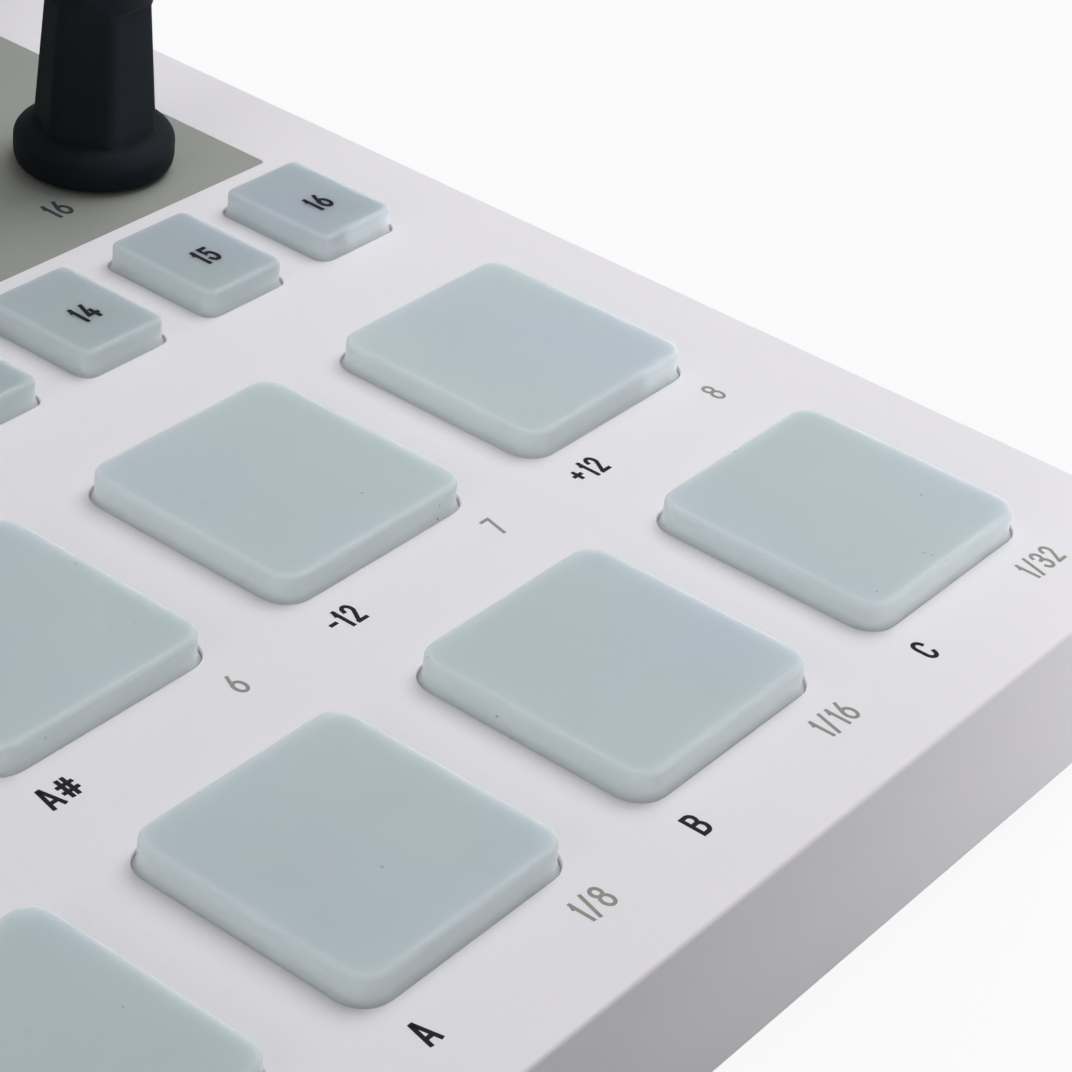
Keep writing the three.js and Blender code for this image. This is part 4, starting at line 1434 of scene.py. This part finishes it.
class StageSettings(bpy.types.PropertyGroup):
    """Floor, light and camera."""

    floor_size: length("Floor size", "Side of the square floor", 8.0)
    floor_glow: factor("Floor glow", "Share of plain white that the camera sees in the floor", 0.93)
    world_strength: number("World strength", "Light from all round", 0.30, min=0.0)
    key_power: power("Key light", "Power of the broad light above", 0.8)
    right_power: power("Right light", "Power of the soft box above the right end", 1.45)
    left_power: power("Left light", "Power of the broad light at the left", 5.0)
    front_power: power("Front light", "Power of the low light at the right front", 0.034)
    floor_power: power("Floor light", "Power of the light on the floor at the right front", 0.5)
    beam: number("Beam", "Angle of the two narrow lights' beams", 0.5, min=0.0, unit="ROTATION")
    lens: number("Lens", "Focal length of the camera in millimetres", 109.61, min=1.0)
    floor_colour: tint("Floor colour", "Colour of the floor", (0.5, 0.5, 0.5))


class ControllerSettings(bpy.types.PropertyGroup):
    """All settings of the pad controller."""

    case: PointerProperty(type=CaseSettings, name="Case", description="The case")
    keys: PointerProperty(type=KeySettings, name="Keys", description="Pads and buttons")
    knobs: PointerProperty(type=KnobSettings, name="Knobs", description="Encoder knobs")
    panels: PointerProperty(type=PanelSettings, name="Panels", description="Grey panels")
    lettering: PointerProperty(type=LetteringSettings, name="Printing", description="Printed marks")
    stage: PointerProperty(type=StageSettings, name="Stage", description="Floor, light and camera")


# Operators


class PADCONTROLLER_OT_case(bpy.types.Operator):
    """Builds the case's shell"""

    bl_idname = "pad_controller.case"
    bl_label = "Case"

    def execute(self, context):
        case_shell()
        return {"FINISHED"}


class PADCONTROLLER_OT_panels(bpy.types.Operator):
    """Builds the two grey panels and the display windows"""

    bl_idname = "pad_controller.panels"
    bl_label = "Panels and Displays"

    def execute(self, context):
        panel_face("encoder_panel", encoder_corners(), KNOBS)
        panel_face("control_panel", control_corners(), ["tempo_knob"])
        for index, (low, high) in enumerate(display_places()):
            display(index + 1, low, high)
        return {"FINISHED"}


class PADCONTROLLER_OT_pads(bpy.types.Operator):
    """Builds the sixteen pads"""

    bl_idname = "pad_controller.pads"
    bl_label = "Pads"

    def execute(self, context):
        for node in PADS:
            key_cap(node)
        return {"FINISHED"}


class PADCONTROLLER_OT_buttons(bpy.types.Operator):
    """Builds the step buttons and the transport buttons, with their printed marks"""

    bl_idname = "pad_controller.buttons"
    bl_label = "Step and Transport Buttons"

    def execute(self, context):
        looks = context.scene.pad_controller.keys
        for index, node in enumerate(STEPS):
            x, y, _ = middle(node)
            paths = written(str(index + 1), looks.number_height, looks.number_stroke)
            key_cap(node, moved(paths, x, y + looks.number_shift), looks.number_stroke)
        for node in TRANSPORT:
            x, y, _ = middle(node)
            marks = moved(transport_marks(node, TRANSPORT_MARK), x, y)
            key_cap(node, marks, TRANSPORT_MARK * TRANSPORT_STROKE_SHARE)
        return {"FINISHED"}


class PADCONTROLLER_OT_knobs(bpy.types.Operator):
    """Builds the encoder knobs and the tempo knob"""

    bl_idname = "pad_controller.knobs"
    bl_label = "Knobs"

    def execute(self, context):
        for node in [*KNOBS, "tempo_knob"]:
            knob(node)
        return {"FINISHED"}


class PADCONTROLLER_OT_sockets(bpy.types.Operator):
    """Builds the sockets and the switch at the back, and finishes the circuit board"""

    bl_idname = "pad_controller.sockets"
    bl_label = "Sockets and Switch"

    def execute(self, context):
        places = rear_places()
        for index, x in enumerate(places["jacks"]):
            jack_socket(index + 1, x, places["jack_z"])
        port_shell(*places["port"])
        switch_lever()
        dress("circuit_board", "board")
        return {"FINISHED"}


class PADCONTROLLER_OT_underside(bpy.types.Operator):
    """Finishes the base plate and builds its screws and feet"""

    bl_idname = "pad_controller.underside"
    bl_label = "Underside"

    def execute(self, context):
        dress("base_plate", "steel")
        plate = box("base_plate")[0][2]
        for index, (x, y) in enumerate(rear_places()["screws"]):
            screw(index + 1, x, y, plate)
        for node in ("foot_front", "foot_rear"):
            foot(node)
        return {"FINISHED"}


class PADCONTROLLER_OT_printing(bpy.types.Operator):
    """Prints the marks on the case and the panels"""

    bl_idname = "pad_controller.printing"
    bl_label = "Printing"

    def execute(self, context):
        case_printing()
        rear_printing()
        panel_printing()
        return {"FINISHED"}


# Stage

# Place, target and size of each light
LAMPS = {
    "key": ((0.3, 0.2, 1.8), (0, 0, 0), 2.0),
    "right": ((0.42, 0.0, 0.40), (0.2, -0.02, 0), 0.35),
    "left": ((-1.3, 0.05, 0.75), (0, 0, 0), 1.0),
    "front": ((0.43, -0.56, 0.0135), (0.262, -0.08, 0.012), 0.03),
    "floor": ((0.27, -0.20, 0.45), (0.27, -0.20, 0), 0.08),
}
NARROW_LAMPS = ("front", "floor")
CAMERA_PLACE = (-0.01785, -0.16872, 0.16473)
CAMERA_RIGHT = (0.61519, -0.78208, 0.09947)
CAMERA_DOWN = (-0.38342, -0.40704, -0.82904)
CAMERA_LOOK = (0.68886, 0.47188, -0.55027)
CAMERA_NEAR = 0.01


def lamp(name, place, target, size, energy, spread):
    """A square soft light that faces a point. Spread is the angle of its beam."""
    data = bpy.data.lights.new(name, "AREA")
    data.shape = "SQUARE"
    data.size = size
    data.energy = energy
    data.spread = spread
    made = bpy.data.objects.new(name, data)
    made.location = place
    made.rotation_euler = (Vector(target) - Vector(place)).to_track_quat("-Z", "Y").to_euler()
    bpy.context.scene.collection.objects.link(made)


def floor(looks):
    """A square floor."""
    half = looks.floor_size / 2
    mesh = bpy.data.meshes.new("floor")
    corners = [(-half, -half, 0), (half, -half, 0), (half, half, 0), (-half, half, 0)]
    mesh.from_pydata(corners, [], [(0, 1, 2, 3)])
    mesh.materials.append(pale_floor(looks))
    made = bpy.data.objects.new("floor", mesh)
    bpy.context.scene.collection.objects.link(made)


def studio(looks):
    """The world: plain light from all round, which the camera sees as white."""
    world = bpy.data.worlds.new("studio")
    bpy.context.scene.world = world
    nodes = Nodes(world)
    light = nodes.add("ShaderNodeBackground")
    white = nodes.add("ShaderNodeBackground")
    light.inputs["Strength"].default_value = looks.world_strength
    for background in (light, white):
        background.inputs["Color"].default_value = (1, 1, 1, 1)
    seen = nodes.add("ShaderNodeLightPath").outputs["Is Camera Ray"]
    output = nodes.add("ShaderNodeOutputWorld")
    nodes.join(nodes.mix(seen, light.outputs[0], white.outputs[0]), output.inputs[0])


def camera(looks):
    """The camera, at the view that the photograph was solved for."""
    data = bpy.data.cameras.new("camera")
    data.lens = looks.lens
    data.clip_start = CAMERA_NEAR
    made = bpy.data.objects.new("camera", data)
    axes = Matrix((Vector(CAMERA_RIGHT), -Vector(CAMERA_DOWN), -Vector(CAMERA_LOOK)))
    made.matrix_world = Matrix.Translation(CAMERA_PLACE) @ axes.transposed().to_4x4()
    bpy.context.scene.collection.objects.link(made)
    bpy.context.scene.camera = made


class PADCONTROLLER_OT_stage(bpy.types.Operator):
    """Builds the floor, the light and the camera"""

    bl_idname = "pad_controller.stage"
    bl_label = "Stage"

    def execute(self, context):
        looks = context.scene.pad_controller.stage
        floor(looks)
        studio(looks)
        for name, (place, target, size) in LAMPS.items():
            spread = looks.beam if name in NARROW_LAMPS else np.pi
            lamp(name + "_light", place, target, size, getattr(looks, name + "_power"), spread)
        camera(looks)
        context.scene.view_settings.view_transform = "Standard"
        return {"FINISHED"}


OPERATORS = [
    PADCONTROLLER_OT_case,
    PADCONTROLLER_OT_panels,
    PADCONTROLLER_OT_pads,
    PADCONTROLLER_OT_buttons,
    PADCONTROLLER_OT_knobs,
    PADCONTROLLER_OT_sockets,
    PADCONTROLLER_OT_underside,
    PADCONTROLLER_OT_printing,
    PADCONTROLLER_OT_stage,
]


class PADCONTROLLER_PT_panel(bpy.types.Panel):
    """Lists the pieces of the pad controller and its settings"""

    bl_idname = "PADCONTROLLER_PT_panel"
    bl_label = "Pad Controller"
    bl_space_type = "VIEW_3D"
    bl_region_type = "UI"
    bl_category = "Pad Controller"

    def draw(self, context):
        looks = context.scene.pad_controller
        for operator in OPERATORS:
            self.layout.operator(operator.bl_idname)
        for group in type(looks).__annotations__:
            group_box = self.layout.box()
            group_box.label(text=group.capitalize())
            values = getattr(looks, group)
            for name in type(values).__annotations__:
                group_box.prop(values, name)


CLASSES = [CaseSettings, KeySettings, KnobSettings, PanelSettings, LetteringSettings, StageSettings,
           ControllerSettings, *OPERATORS, PADCONTROLLER_PT_panel]


def register():
    for item in CLASSES:
        bpy.utils.register_class(item)
    bpy.types.Scene.pad_controller = PointerProperty(type=ControllerSettings)


def unregister():
    del bpy.types.Scene.pad_controller
    for item in reversed(CLASSES):
        bpy.utils.unregister_class(item)


def main():
    """Builds every piece and the stage."""
    register()
    bpy.ops.pad_controller.case()
    bpy.ops.pad_controller.panels()
    bpy.ops.pad_controller.pads()
    bpy.ops.pad_controller.buttons()
    bpy.ops.pad_controller.knobs()
    bpy.ops.pad_controller.sockets()
    bpy.ops.pad_controller.underside()
    bpy.ops.pad_controller.printing()
    bpy.ops.pad_controller.stage()
    bpy.context.view_layer.update()


if __name__ == "__main__":
    main()
